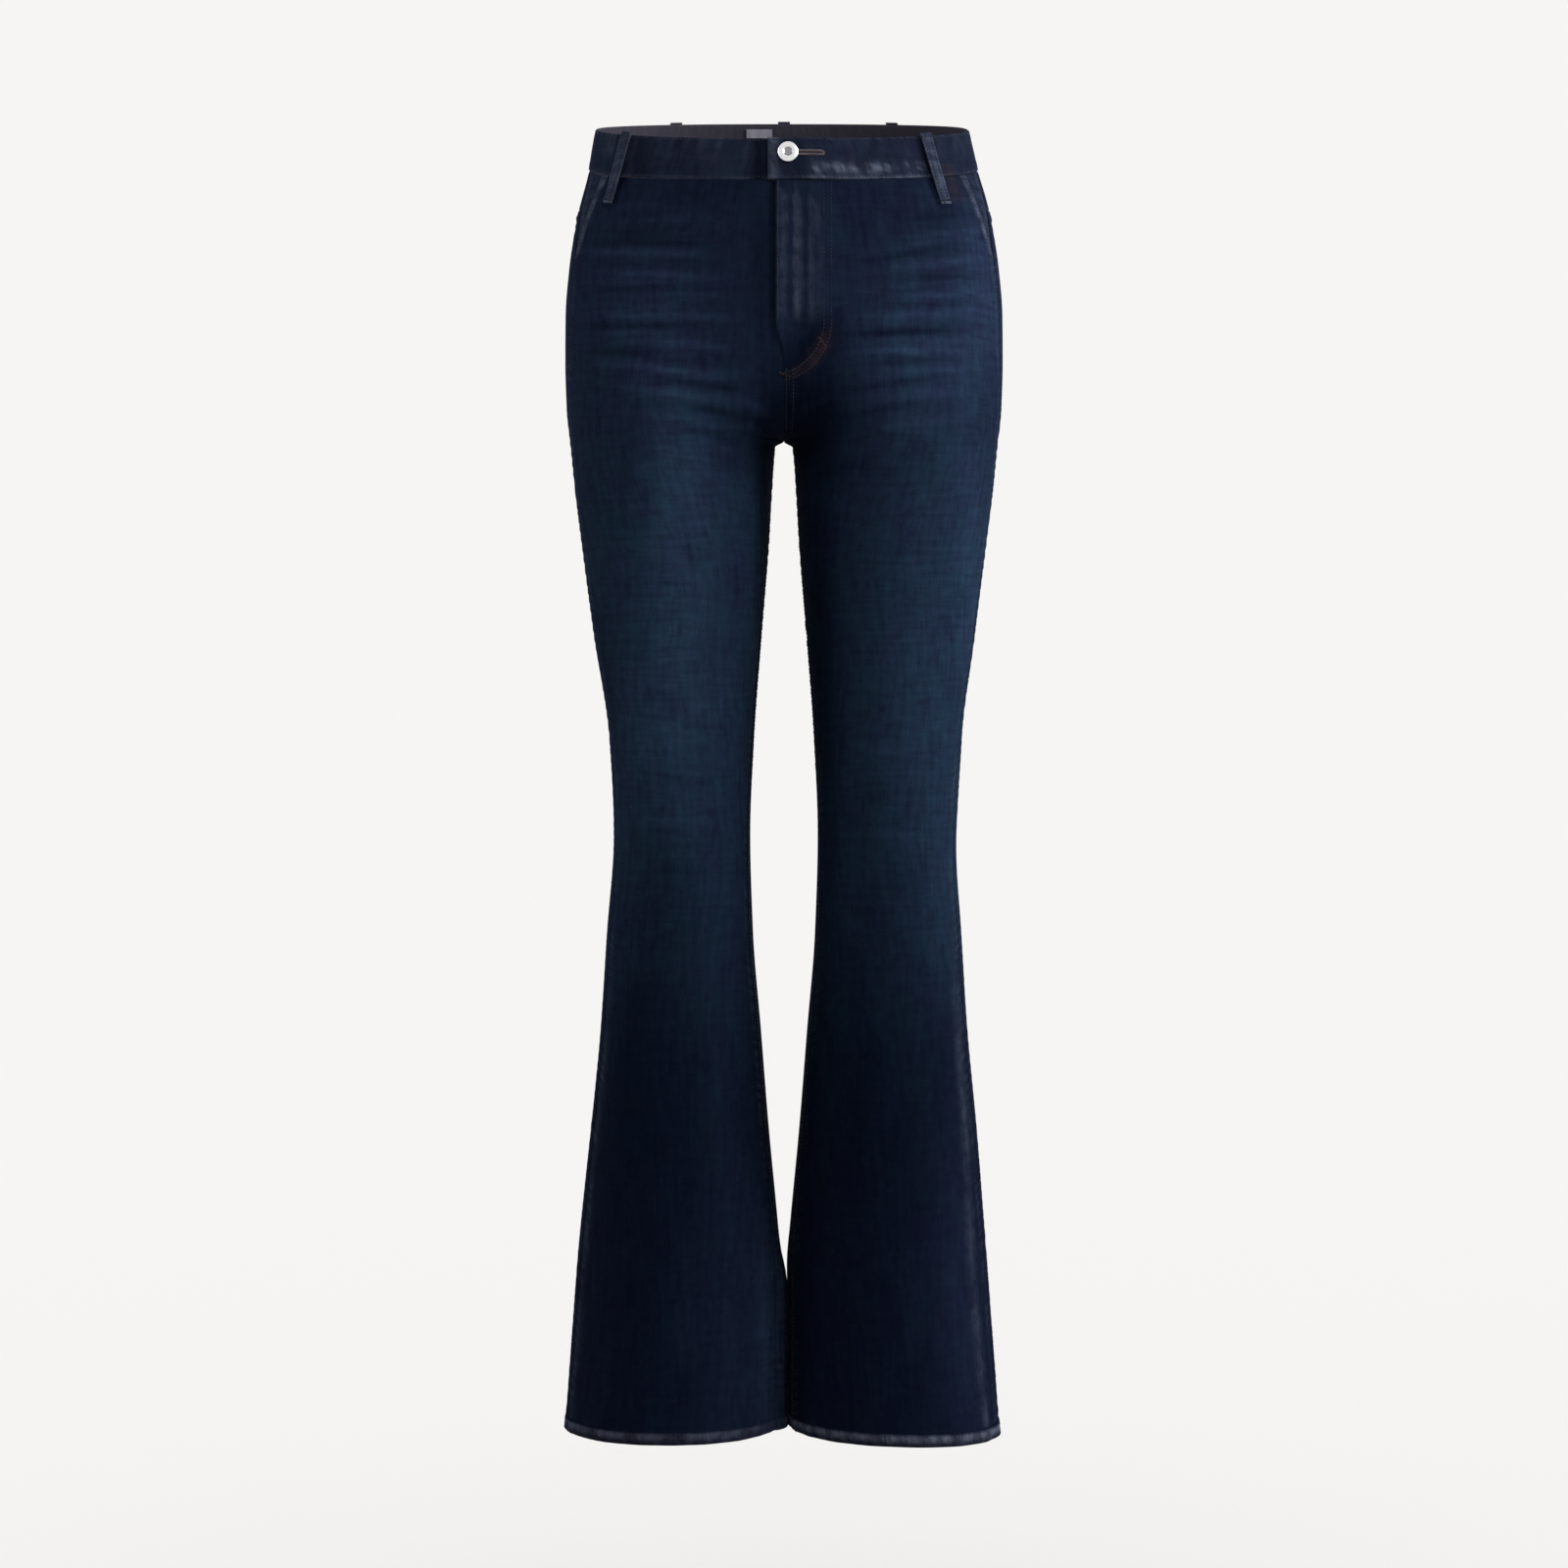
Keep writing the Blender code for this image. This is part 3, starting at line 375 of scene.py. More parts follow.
# Creases worn into the cloth, listed as they show from the front (and alike from the back):
# millimetres and degrees; depth is negative for a ridge, and wear is how much lighter the rubbed ridge is.
frontCreases = {
    "columns": ("leg", "across", "up", "lean", "reach", "width", "depth", "wear"),
    "rows": (
        # the right hip, at the viewer's left, from the pocket down
        (-1, -120, -66, -2, 50, 2, -0.3, 0.08),
        (-1, -105, -78, 2, 60, 3, -0.4, 0.1),
        (-1, -125, -88, 1, 46, 2.2, 0.3, -0.08),
        (-1, -112, -98, -1, 80, 2.6, 0.5, -0.12),
        (-1, -120, -106, -1, 74, 3, -0.9, 0.22),
        (-1, -100, -114, 3, 60, 2, 0.4, -0.08),
        (-1, -116, -124, -2, 70, 2.6, -0.7, 0.2),
        (-1, -108, -130, 1, 90, 2.2, -0.5, 0.12),
        (-1, -122, -136, 2, 56, 2.4, 0.6, -0.14),
        (-1, -80, -143, 0, 50, 2.6, -0.4, 0.1),
        (-1, -118, -152, -3, 64, 2.2, -0.5, 0.14),
        (-1, -104, -160, -2, 88, 3.2, -1.1, 0.26),
        (-1, -112, -168, 1, 80, 2.2, 0.7, -0.16),
        (-1, -126, -174, 0, 50, 2.4, -0.5, 0.12),
        (-1, -92, -183, -5, 66, 3.4, -0.8, 0.2),
        (-1, -134, -190, 3, 46, 2.4, 0.6, -0.14),
        (-1, -98, -196, -6, 70, 2.6, 0.4, -0.1),
        (-1, -100, -206, -6, 80, 4, -1, 0.26),
        (-1, -76, -217, -9, 56, 3, 0.6, -0.16),
        (-1, -90, -227, -7, 70, 4.6, -0.9, 0.24),
        (-1, -62, -240, -13, 50, 3.6, 0.6, -0.14),
        (-1, -90, -247, -8, 60, 4, -0.6, 0.16),
        (-1, -60, -262, -16, 44, 5, 0.6, -0.1),
        # the left hip, at the viewer's right
        (1, 140, -62, 3, 40, 2.2, -0.3, 0.08),
        (1, 128, -76, 5, 52, 2.8, 0.4, -0.1),
        (1, 134, -90, 6, 52, 2.6, -0.6, 0.16),
        (1, 112, -99, 9, 66, 2.4, -0.6, 0.14),
        (1, 100, -108, 10, 60, 2.4, 0.5, -0.14),
        (1, 126, -116, 6, 62, 3.4, -0.9, 0.24),
        (1, 142, -127, 2, 44, 2.6, 0.6, -0.18),
        (1, 108, -134, 7, 60, 2.2, -0.4, 0.1),
        (1, 130, -142, 3, 60, 3.2, -0.8, 0.2),
        (1, 122, -150, 1, 56, 2.2, 0.4, -0.1),
        (1, 120, -158, 2, 84, 3.4, -1, 0.24),
        (1, 100, -165, 1, 70, 2.2, -0.4, 0.1),
        (1, 104, -173, 2, 74, 3.4, 0.9, -0.28),
        (1, 134, -181, -1, 52, 2.6, -0.5, 0.14),
        (1, 112, -189, 0, 78, 3.4, -0.9, 0.24),
        (1, 104, -198, 4, 62, 2.6, 0.6, -0.16),
        (1, 132, -206, 3, 56, 3.4, -0.7, 0.18),
        (1, 96, -216, 8, 60, 3.2, 0.6, -0.16),
        (1, 120, -226, 5, 62, 4, -0.8, 0.18),
        (1, 90, -238, 11, 56, 3.6, 0.5, -0.12),
        (1, 112, -250, 8, 60, 4.4, -0.6, 0.14),
        # short tucks that radiate from the crotch
        (-1, -26, -236, -28, 26, 3.6, -0.7, 0.1),
        (-1, -22, -251, -38, 22, 3.2, 0.8, -0.08),
        (1, 26, -234, 26, 26, 3.6, -0.7, 0.06),
        (1, 22, -250, 36, 22, 3.2, 0.8, -0.08),
        (-1, -46, -285, -18, 40, 6, 0.7, -0.06),
        (1, 48, -290, 16, 42, 6, 0.7, -0.06),
        # faint creases over the knees and soft drag lines down the shins
        (-1, -95, -520, 3, 46, 5, -0.5, 0.06),
        (-1, -88, -556, -5, 50, 5.6, 0.6, -0.05),
        (-1, -94, -590, 4, 44, 5, -0.6, 0.08),
        (-1, -86, -632, -4, 46, 6, 0.5, -0.05),
        (1, 90, -528, -4, 44, 5, -0.5, 0.06),
        (1, 94, -566, 5, 50, 5.6, 0.6, -0.05),
        (1, 88, -602, -3, 46, 5, -0.6, 0.07),
        (1, 92, -646, 5, 46, 6, 0.5, -0.05),
        (-1, -128, -760, 82, 120, 9, 0.9, -0.03),
        (-1, -60, -820, 96, 140, 10, -0.9, 0.03),
        (1, 124, -770, 98, 120, 9, 0.9, -0.03),
        (1, 62, -830, 84, 140, 10, 0.9, -0.02),
        (-1, -90, -1010, 88, 80, 12, -1, 0.03),
        (1, 104, -1000, 93, 90, 12, -1, 0.03),
    ),
}
backCreases = {
    "columns": ("leg", "across", "up", "lean", "reach", "width", "depth", "wear"),
    "rows": (
        # under the seat, fanning out from the crotch
        (1, 60, -262, 20, 50, 5.6, 1.2, -0.12),
        (1, 78, -278, 15, 62, 6, -1.2, 0.22),
        (1, 84, -297, 12, 62, 5.6, 1.1, -0.1),
        (1, 92, -316, 9, 56, 6, -1, 0.16),
        (1, 96, -338, 5, 50, 6, 0.8, -0.06),
        (-1, -58, -266, -22, 48, 5.6, 1.2, -0.12),
        (-1, -80, -283, -13, 64, 6, -1.2, 0.22),
        (-1, -82, -301, -14, 58, 5.6, 1.1, -0.1),
        (-1, -94, -322, -7, 58, 6, -1, 0.16),
        (-1, -90, -345, -6, 46, 6, 0.8, -0.06),
        # behind the knees
        (1, 90, -535, 5, 52, 4.8, -1.1, 0.18),
        (1, 86, -549, -3, 48, 4, 1.1, -0.12),
        (1, 92, -574, 7, 56, 5, -1.3, 0.24),
        (1, 84, -590, 2, 50, 4, 1.2, -0.14),
        (1, 90, -622, -6, 54, 5, -1.2, 0.22),
        (1, 86, -636, -2, 44, 4.2, 1, -0.12),
        (1, 94, -676, 4, 46, 5, -0.9, 0.14),
        (-1, -88, -530, -4, 50, 4.8, -1.1, 0.18),
        (-1, -92, -545, 4, 50, 4, 1.1, -0.12),
        (-1, -86, -580, -8, 56, 5, -1.3, 0.24),
        (-1, -90, -596, -2, 48, 4, 1.2, -0.14),
        (-1, -92, -630, 6, 54, 5, -1.2, 0.22),
        (-1, -84, -645, 3, 44, 4.2, 1, -0.12),
        (-1, -92, -682, -5, 46, 5, -0.9, 0.14),
        # the calf and the flare
        (1, 70, -830, 84, 120, 11, 1, -0.03),
        (1, 112, -900, 94, 140, 12, -1.1, 0.03),
        (-1, -74, -840, 97, 120, 11, 1, -0.03),
        (-1, -114, -890, 86, 140, 12, -1.1, 0.03),
    ),
}
# Broad worn and dark areas, with painted light and painted shade among them, as they show from the front
# or the back, in millimetres and degrees: depth is what is added to the fade.
frontFadesAndPaintedLight = {
    "columns": ("leg", "across", "up", "lean", "reach", "width", "depth"),
    "rows": (
        # thighs and knees
        (-1, -97, -360, 88, 300, 31, 0.34),
        (-1, -100, -520, 92, 130, 26, 0.14),
        (1, 112, -400, 91, 330, 52, 0.1),
        (1, 100, -455, 86, 190, 24, 0.07),
        # hips, painted light on the left leg's outer edge and painted shade on the right leg's outer edge
        (-1, -120, -145, 85, 100, 36, 0.13),
        (1, 118, -185, 96, 120, 40, 0.13),
        (1, 170, -150, 90, 130, 24, 0.2),
        (1, 160, -380, 92, 300, 16, 0.14),
        (1, 140, -640, 84, 160, 16, 0.1),
        (-1, -165, -330, 90, 260, 16, -0.06),
        (-1, -152, -480, 94, 120, 12, -0.16),
        (1, 166, -105, 100, 80, 14, 0.12),
        # the inner sides of the thighs (painted light on the right leg's, unworn cloth and painted shade on
        # the left leg's), and painted shade at the crotch and beside the fly
        (-1, -23, -430, 92, 300, 9, 0.2),
        (1, 30, -440, 90, 300, 18, -0.24),
        (0, 0, -243, 90, 75, 40, -0.2),
        (-1, -16, -120, 90, 110, 14, -0.12),
        (-1, -50, -50, 0, 60, 16, -0.04),
        # painted light on the shins: on the right leg's inner side and on the left leg's outer side
        (-1, -10, -1020, 90, 200, 13, 0.3),
        (-1, -9, -1060, 90, 160, 9, 0.45),
        (-1, -40, -1030, 90, 220, 30, 0.05),
        (1, 152, -990, 93, 240, 20, 0.09),
        # the dark end of the fly, the shade right of the crotch and the lower left hip
        (1, 18, -184, 62, 40, 16, -0.17),
        (1, 40, -228, 75, 80, 22, -0.11),
        (1, 36, -176, 75, 34, 11, -0.12),
        (1, 156, -228, 90, 70, 40, -0.09),
    ),
}
backFadesAndPaintedLight = {
    "columns": ("leg", "across", "up", "lean", "reach", "width", "depth"),
    "rows": (
        (1, 90, -200, 88, 140, 52, 0.24),
        (-1, -92, -195, 92, 140, 52, 0.24),
        (1, 92, -430, 89, 240, 36, 0.18),
        (-1, -90, -430, 91, 240, 36, 0.18),
        (1, 26, -420, 90, 300, 18, -0.2),
        (-1, -26, -420, 90, 300, 18, -0.2),
        (0, 0, -245, 90, 80, 36, -0.22),
        (1, 100, -960, 92, 220, 40, 0.05),
        (-1, -104, -950, 88, 220, 40, 0.05),
        # painted light on the right leg's inner shin edge, where the back shows round the inseam
        (-1, -7, -1040, 90, 200, 11, 0.5),
    ),
}
# Stripes rubbed over the zip, as distances beyond the fly's edge.
flyStripes = {
    "columns": ("centre", "width", "strength"),
    "rows": (
        (0.006, 0.004, 0.17),
        (0.0018, 0.001, 0.12),
        (0.0166, 0.0019, 0.34),
        (0.0122, 0.0014, -0.1),
        (0.0232, 0.002, -0.06),
        (0.0297, 0.0024, 0.18),
        (0.0362, 0.0022, 0.1),
    ),
}


def baseFade(height):
    # the wash by height: paler from the hips to the knee, deep indigo from the shin down
    heights = np.array((-1.13, -0.86, -0.78, -0.7, -0.62, -0.5, -0.4, -0.3, -0.22, -0.14, -0.06, 0.03))
    values = np.array((0.03, 0.025, 0.06, 0.15, 0.23, 0.28, 0.285, 0.27, 0.25, 0.22, 0.19, 0.18))
    return smoothValues(height, heights, values)


# Seams and their relief. Roll is how far an edge turns in, allowance is the ridge of folded cloth below.
relief = {
    "rollDepth": 0.00075,
    "rollWidth": 0.0011,
    "allowance": 0.0005,
    "sideReach": 0.0105,
    "inseamReach": 0.0085,
    "puckerDepth": 0.00042,
    "puckerWave": 0.0085,
    "sideSeed": 11,
    "inseamSeed": 13,
    "leftSeeds": 40,
    "stitchDepth": 0.00022,
    "stitchWidth": 0.0008,
    "inseamStitches": (0.0018, 0.0078),
    "riseStitches": (0.0018, 0.0078),
    "sideStitch": 0.002,
    "sideStitchEnd": -0.205,
    "mouthStitches": (0.002, 0.0082),
    "yokeStitches": (0.0018, 0.0078),
    "hemStitch": 0.0094,
}
# Turned and joined edges: depth and width of the roll, then height, reach and ramp of the ridge behind it.
edges = {
    "mouth": (0.0007, 0.0008, 0.00045, 0.0094, 0.0016),
    "frontRise": (0.0003, 0.0009, 0.0003, 0.0085, 0.002),
    "flyLap": (0.0011, 0.0007, 0.0006, 0.0105, 0.002),
    "underBand": (0.00035, 0.0016),
    "backRise": (0.0003, 0.0009, 0.0005, 0.0085, 0.0014),
    "backTop": (0.0007, 0.001, 0.0004, 0.0088, 0.0014),
    "hemBottom": (0.0012, 0.0007),
    "yokeBottom": (0.0007, 0.001),
    "yokeSide": (0.0007, 0.001, 0.00035, 0.01, 0.002),
    "yokeMiddle": (0.0007, 0.001, 0.0004, 0.0085, 0.0014),
    "bandTop": (0.001, 0.0007),
    "bandBottom": (0.0009, 0.0007),
    "bandEnd": (0.0011, 0.0008),
    "bandMiddle": (0.0006, 0.0009),
    "loopSide": (0.0007, 0.0006),
    "loopEnd": (0.0007, 0.0007),
    "patchRim": (0.0008, 0.0009, 0.0003, 0.009, 0.0016),
    "patchTop": (0.0008, 0.0009, 0.0003, 0.0165, 0.0014),
}
# Puckers along the edges: depth, wave and seed, then reach and ramp of the cloth that they cross.
puckerRows = {
    "mouth": (0.00022, 0.0075, 12, 0.01, 0.006),
    "frontTop": (0.0002, 0.012, 31, 0.004, 0.02),
    "backRise": (0.0003, 0.01, 23, 0.007, 0.008),
    "backTop": (0.00025, 0.0095, 29, 0.009, 0.008),
    "yokeTop": (0.0002, 0.012, 33, 0.004, 0.014),
    "yokeBottom": (0.0002, 0.012, 33, 0.002, 0.01),
    "bandTop": (0.00024, 0.0082, 41, 0.004, 0.004),
    "bandBottom": (0.00024, 0.0082, 41, 0.004, 0.006),
    "patchRim": (0.00022, 0.0088, 53, 0.009, 0.008),
    "patchWear": (0.06, 0.0088, 53, 0.008, 0.004),
}
# Rubbed cloth along the edges: strength, reach and ramp.
rubs = {
    "mouthTop": (1.0, 0.0074, 0.003),
    "backTop": (0.1, 0.008, 0.003),
    "backRise": (0.1, 0.008, 0.003),
    "yokeSide": (0.04, 0.008, 0.003),
    "facingSeam": (0.1, 0.008, 0.004),
    "patchRim": (0.16, 0.0006, 0.003),
    "patchTop": (0.18, 0.0008, 0.003),
    "patchAllowance": (0.05, 0.008, 0.002),
}
# Rubbed lines along the edges: strength, distance from the edge and width.
rubbedLines = {
    "mouthFold": (0.16, 0.0012, 0.0016),
    "flyEdge": (0.16, 0.0022, 0.0014),
    "yokeBottom": (0.06, 0.0, 0.003),
    "bandTop": (0.16, 0.0, 0.0018),
    "bandBottom": (0.05, 0.0, 0.003),
    "bandSeam": (0.16, 0.0008, 0.0012),
    "bandFlecks": (1.0, 0.0086, 0.0042),
    "bandPale": (1.0, 0.0012, 0.0015),
    "bandEnd": (0.1, 0.001, 0.0016),
    "lapEnd": (0.37, 0.0045, 0.004),
    "loopSide": (0.2, 0.0006, 0.0014),
    "loopMiddle": (0.1, 0.0, 0.0014),
    "loopEnd": (0.5, 0.0, 0.003),
}
waist = {
    "bandHeight": 0.0345,
    "thickness": 0.0024,
    "proud": 0.0008,
    "lapLift": 0.0029,
    "leftLap": 0.0135,
    "rightLap": 0.023,
    "rampStart": 0.05,
    "rampEnd": 0.029,
    "drop": 0.0017,
    "tilt": 0.2045,
    "bend": -0.0305,
    "rounding": 0.02,
    "level": -0.02,
    "yokeLevel": -0.065,
    "yokeSide": 0.032,
    "yokeMiddle": 0.075,
    "rows": 26,
    "columns": 330,
    "stitchInset": 0.0021,
    "lapShadeAt": -0.0215,
    "fade": 0.27,
}
loops = {
    "width": 0.0105,
    "thickness": 0.0013,
    "above": 0.002,
    "below": 0.0222,
    "arch": 0.001,
    "archShare": 0.8,
    "dropShare": 0.67,
    "leftGirth": 0.081,
    "rightGirth": 0.065,
    "backGirth": -0.105,
    "gap": 0.0005,
    "stitchInset": 0.0022,
    "rows": 70,
    "columns": 17,
    "fade": 0.46,
    "topShade": 0.14,
    "wear": 0.06,
    "leftMottle": 0.34,
    "rightMottle": 0.26,
    # painted shadow beside and under a front loop
    "beside": 0.22,
    "under": 0.16,
}
fly = {
    "edge": 0.007,
    "under": 0.0055,
    "dip": 0.0018,
    "straightEnd": -0.172,
    "end": -0.205,
    "lapFade": 0.03,
    "reach": 0.039,
    "drift": 0.004,
    "curveTop": -0.176,
    "curveBottom": -0.221,
    "proud": 0.0009,
    "ramp": 0.006,
    "rowApart": 0.0062,
    "stripesTop": -0.05,
    "stripesEnd": -0.178,
    "rippleDepth": 0.00022,
}
mouth = {
    "atBand": 0.046,
    "top": -0.043,
    "bottom": -0.114,
    "curve": 1.15,
    "wear": 0.1,
    "mottle": 0.4,
    "underFront": 0.013,
    "underSeam": 0.004,
    "below": 0.01,
    "drop": 0.002,
}
# The paler strip down the shin beside the outer seam: rubbed cloth, and painted light where the shin turns
# to the key lamp.
stripWearAndLight = {
    "start": -0.66,
    "width": 0.0056,
    "dashWave": 0.021,
    "leftInset": 0.013,
    "leftDrift": 0.013,
    "driftStart": -0.72,
    "rightInset": 0.0085,
    "left": 0.17,
    "right": 0.08,
}
# Brown stains: of the thread on the fly, of the rub beside the left loop and of the hem's turned cloth.
stains = {
    "fly": 0.36,
    "flyWidth": 0.006,
    "mouth": 0.4,
    "mouthAt": 0.0665,
    "mouthWidth": 0.008,
    "hem": 0.16,
}
hem = {
    "height": -1.1085,
    "turnUp": 0.011,
    "proud": 0.0007,
    "lowSide": 0.005,
    "lowStart": -0.9,
    "lowSpan": 0.2,
    "halfWidth": 0.185,
    "ropeDepth": 0.00035,
    "ropeWave": 0.0095,
    "ropeLean": 1.1,
    "softDepth": 0.0006,
    "softWave": 0.034,
    "leftWear": 1.7,
    "rightWear": 0.95,
    "fleckWave": 0.0065,
    "fleckAt": 0.0074,
    "fleckWidth": 0.0029,
    "seed": 17,
    "leftSeeds": 4,
}
panel = {
    "cloth": 0.0012,
    "rowStep": 0.0024,
    "edgeColumns": (0, 0.0004, 0.0009, 0.0015, 0.0022, 0.003, 0.0039, 0.0049, 0.006, 0.0072, 0.0085, 0.0098,
                    0.0112, 0.0128, 0.0148, 0.0174),
    "middleColumns": 40,
    "topRows": 14,
    "hemStep": (0.0012, 0.0005, -0.0001, -0.0009),
    "hemRound": (-1.1005, -1.103, -1.1054, -1.107, -1.108),
    "turnedThickness": 0.0009,
    "least": 0.0004,
    # heights at the inner edge and at the side seam of rows that slant over the rise
    "innerRows": (-0.086, -0.118, -0.148, -0.176, -0.205, -0.228, -0.246, -0.2585, -0.265, -0.2674, -0.268,
                  -0.27, -0.276, -0.289, -0.31, -0.34, -0.376, -0.416, -0.46, -0.505, -0.55,
                  -0.585, -1.2),
    "sideRows": (-0.068, -0.095, -0.114, -0.136, -0.158, -0.18, -0.202, -0.222, -0.24, -0.256, -0.271,
                 -0.286, -0.302, -0.319, -0.339, -0.363, -0.393, -0.427, -0.466, -0.508, -0.551,
                 -0.585, -1.2),
}


def waistEdge(girth):
    # tilt y + bend (sqrt(y^2 + rounding^2) - rounding) - drop, so the edge dips in front and rises behind
    y = formPoint(girth, np.full_like(girth, waist["level"]))[..., 1]
    bend = np.sqrt(y ** 2 + waist["rounding"] ** 2) - waist["rounding"]
    return waist["tilt"] * y + waist["bend"] * bend - waist["drop"]


def bandSeam(girth):
    # the waistband's lower edge: its upper edge less its height
    return waistEdge(girth) - waist["bandHeight"]


def yokeSeam(girth):
    # band seam - (yokeSide + (yokeMiddle - yokeSide) share), deeper towards the middle of the back
    level = np.full_like(girth, waist["yokeLevel"])
    side = tableValue(seams, "sideSeam", level)
    share = np.clip((side - girth) / (side + girthLength(level, "back")), 0, 1)
    return bandSeam(girth) - waist["yokeSide"] - (waist["yokeMiddle"] - waist["yokeSide"]) * share


def pocketMouth(height):
    # from the band down to the side seam along share^curve
    down = np.clip((height - mouth["top"]) / (mouth["bottom"] - mouth["top"]), 0, 1)
    end = tableValue(seams, "sideSeam", np.full_like(height, mouth["bottom"]))
    return mouth["atBand"] + (end - mouth["atBand"]) * down ** mouth["curve"]


def halfGap(height):
    # half the gap between two pieces, a little wider in a bell of height round the crotch
    near = bell(height - form["crotch"], seams["crotchReach"])
    return 0.5 * (seams["gap"] + (seams["crotchGap"] - seams["gap"]) * near)


def hemLine(girth, height, leg):
    # how much lower the left leg's outer side hangs
    low = softStep((hem["lowStart"] - height) / hem["lowSpan"]) * hem["lowSide"] * (0.5 + 0.5 * leg)
    return low * np.clip(formPoint(girth, height)[..., 0] / hem["halfWidth"], 0, 1) ** 2


def frontInner(height, leg):
    # front length - inseam's shift + the fly's lap, which eases out below its straight part
    below = (fly["straightEnd"] - height) / (fly["straightEnd"] - fly["end"])
    lap = (fly["edge"] if leg > 0 else fly["under"] - fly["edge"]) * (1 - softStep(below))
    return girthLength(height, "front") - tableValue(seams, "inseamForward", height) + lap - halfGap(height)


def frontOuter(height):
    # the pocket mouth down to its lower end, then the side seam
    seam = tableValue(seams, "sideSeam", height)
    return np.where(height > mouth["bottom"], pocketMouth(height), seam) + 0.5 * seams["gap"]


def backInner(height, leg):
    # half gap - back length - inseam's shift; above the crotch the seam stands aside of the front's, so that
    # no slit lines up with another
    above = softStep((height - form["crotch"] - 0.001) / 0.008)
    above = above * softStep((seams["backShiftTop"] - height) / 0.03)
    forward = tableValue(seams, "inseamForward", height) + seams["backShift"] * leg * above
    return halfGap(height) - girthLength(height, "back") - forward


def grainMiddle(height, key):
    # half way between the side seam and the inner edge of a front or back, evened out over its height
    levels = np.array(seams["grainLevels"])
    side = tableValue(seams, "sideSeam", levels)
    length = girthLength(levels, key) * (1 if key == "front" else -1)
    return smoothValues(height, levels, 0.5 * (side + length - tableValue(seams, "inseamForward", levels)))


def backOuter(height):
    # the side seam less half the gap
    return tableValue(seams, "sideSeam", height) - 0.5 * seams["gap"]


def panelGrid(innerEdge, outerEdge, topSeam, firstRow, leg):
    # girth = inner + share (outer - inner), with columns close together along both edges, and rows that
    # slant from the inner edge's heights to the side seam's
    inset = np.array(panel["edgeColumns"])
    middle = np.linspace(0, 1, panel["middleColumns"] + 2)[1:-1]
    clear = inset[-1] + 0.003
    fraction = np.concatenate((0 * inset, middle, 1 + 0 * inset))
    shift = np.concatenate((inset, clear * (1 - 2 * middle), -inset[::-1]))
    innerRows, sideRows = np.array(panel["innerRows"])[::-1], np.array(panel["sideRows"])[::-1]
    level = hem["height"] + hem["turnUp"]
    side = np.linspace(firstRow, level + 0.0022, int((firstRow - level) / panel["rowStep"]))
    side = side[:, None]
    inner = smoothValues(side, sideRows, innerRows)
    width = np.abs(outerEdge(side) - innerEdge(inner))
    share = fraction + shift / width
    body = inner + (side - inner) * share
    # the last rows stand close together where the turned cloth ends and round the lower edge
    step = level + np.array(panel["hemStep"])
    tail = np.concatenate((step, panel["hemRound"], (hem["height"],)))[:, None]
    topShare = share[0]
    top = body[0]
    for _ in range(4):  # each round brings the top row closer to the seam above it
        edge = innerEdge(top) + (outerEdge(top) - innerEdge(top)) * topShare
        top = topSeam(edge) - seams["bandGap"]
    down = (np.linspace(0, 1, panel["topRows"], endpoint=False)[:, None]) ** 1.25
    upper = top + (body[0] - top) * down
    height = np.concatenate((upper, body, tail + 0 * body[:1]))
    share = np.concatenate((np.repeat(share[:1], len(upper), 0), share, np.repeat(share[-1:], len(tail), 0)))
    girth = innerEdge(height) + (outerEdge(height) - innerEdge(height)) * share
    return girth, height - hemLine(girth, height, leg)


def creaseRelief(table, girth, height, leg):
    # outward height and wear of the worn creases; folded cloth keeps them out of the seams
    across, up = viewPlace(girth, height, leg)
    wearTable = dict(table, columns=("leg", "across", "up", "lean", "reach", "width", "unused", "depth"))
    return -0.001 * foldField(table, across, up, leg), foldField(wearTable, across, up, leg)


def grooves(distance, insets):
    # shallow troughs under rows of stitches
    return sum(bell(distance - inset, relief["stitchWidth"]) for inset in insets) * -relief["stitchDepth"]


def edgeRelief(name, distance, ridge=1.0):
    # -depth bell(distance, width) + height raised(distance, reach, ramp), from the table of edges
    depth, width, *allowance = edges[name]
    shape = -depth * bell(distance, width)
    if allowance:
        height, reach, slope = allowance
        shape = shape + height * ridge * raised(distance, reach, slope)
    return shape


def puckerRow(name, at, distance):
    # depth pucker(at, wave) raised(distance, reach, ramp), from the table of puckers
    depth, wave, seed, reach, slope = puckerRows[name]
    return depth * pucker(at, wave, seed) * raised(distance, reach, slope)


def rub(name, distance):
    # strength raised(distance, reach, ramp), from the table of rubbed cloth
    strength, reach, slope = rubs[name]
    return strength * raised(distance, reach, slope)


def rubbedLine(name, distance):
    # strength bell(distance - at, width), from the table of rubbed lines
    strength, at, width = rubbedLines[name]
    return strength * bell(distance - at, width)


def seamEdge(distance, along, reach, seed, lean, ridge=1.0):
    # rolled edge, ridge of the allowance under it, and puckers that lean across both; its wear, less a
    # painted shade line right along the edge
    roll = -relief["rollDepth"] * bell(distance, relief["rollWidth"])
    allowance = ridge * relief["allowance"] * raised(distance, reach, 0.0022)
    ripple = pucker(along + lean * distance, relief["puckerWave"], seed)
    lines = raised(distance, reach + 0.002, 0.01)
    worn = raised(distance, reach * 0.9, 0.0028)
    worn = worn * (0.05 + 0.09 * ripple)
    worn = worn * mottle(along, 0.021, seed + 3)
    # painted shade: a darker line along the seam's edge
    worn = worn - 0.1 * bell(distance, 0.0012)
    return roll + allowance + relief["puckerDepth"] * ripple * lines, worn


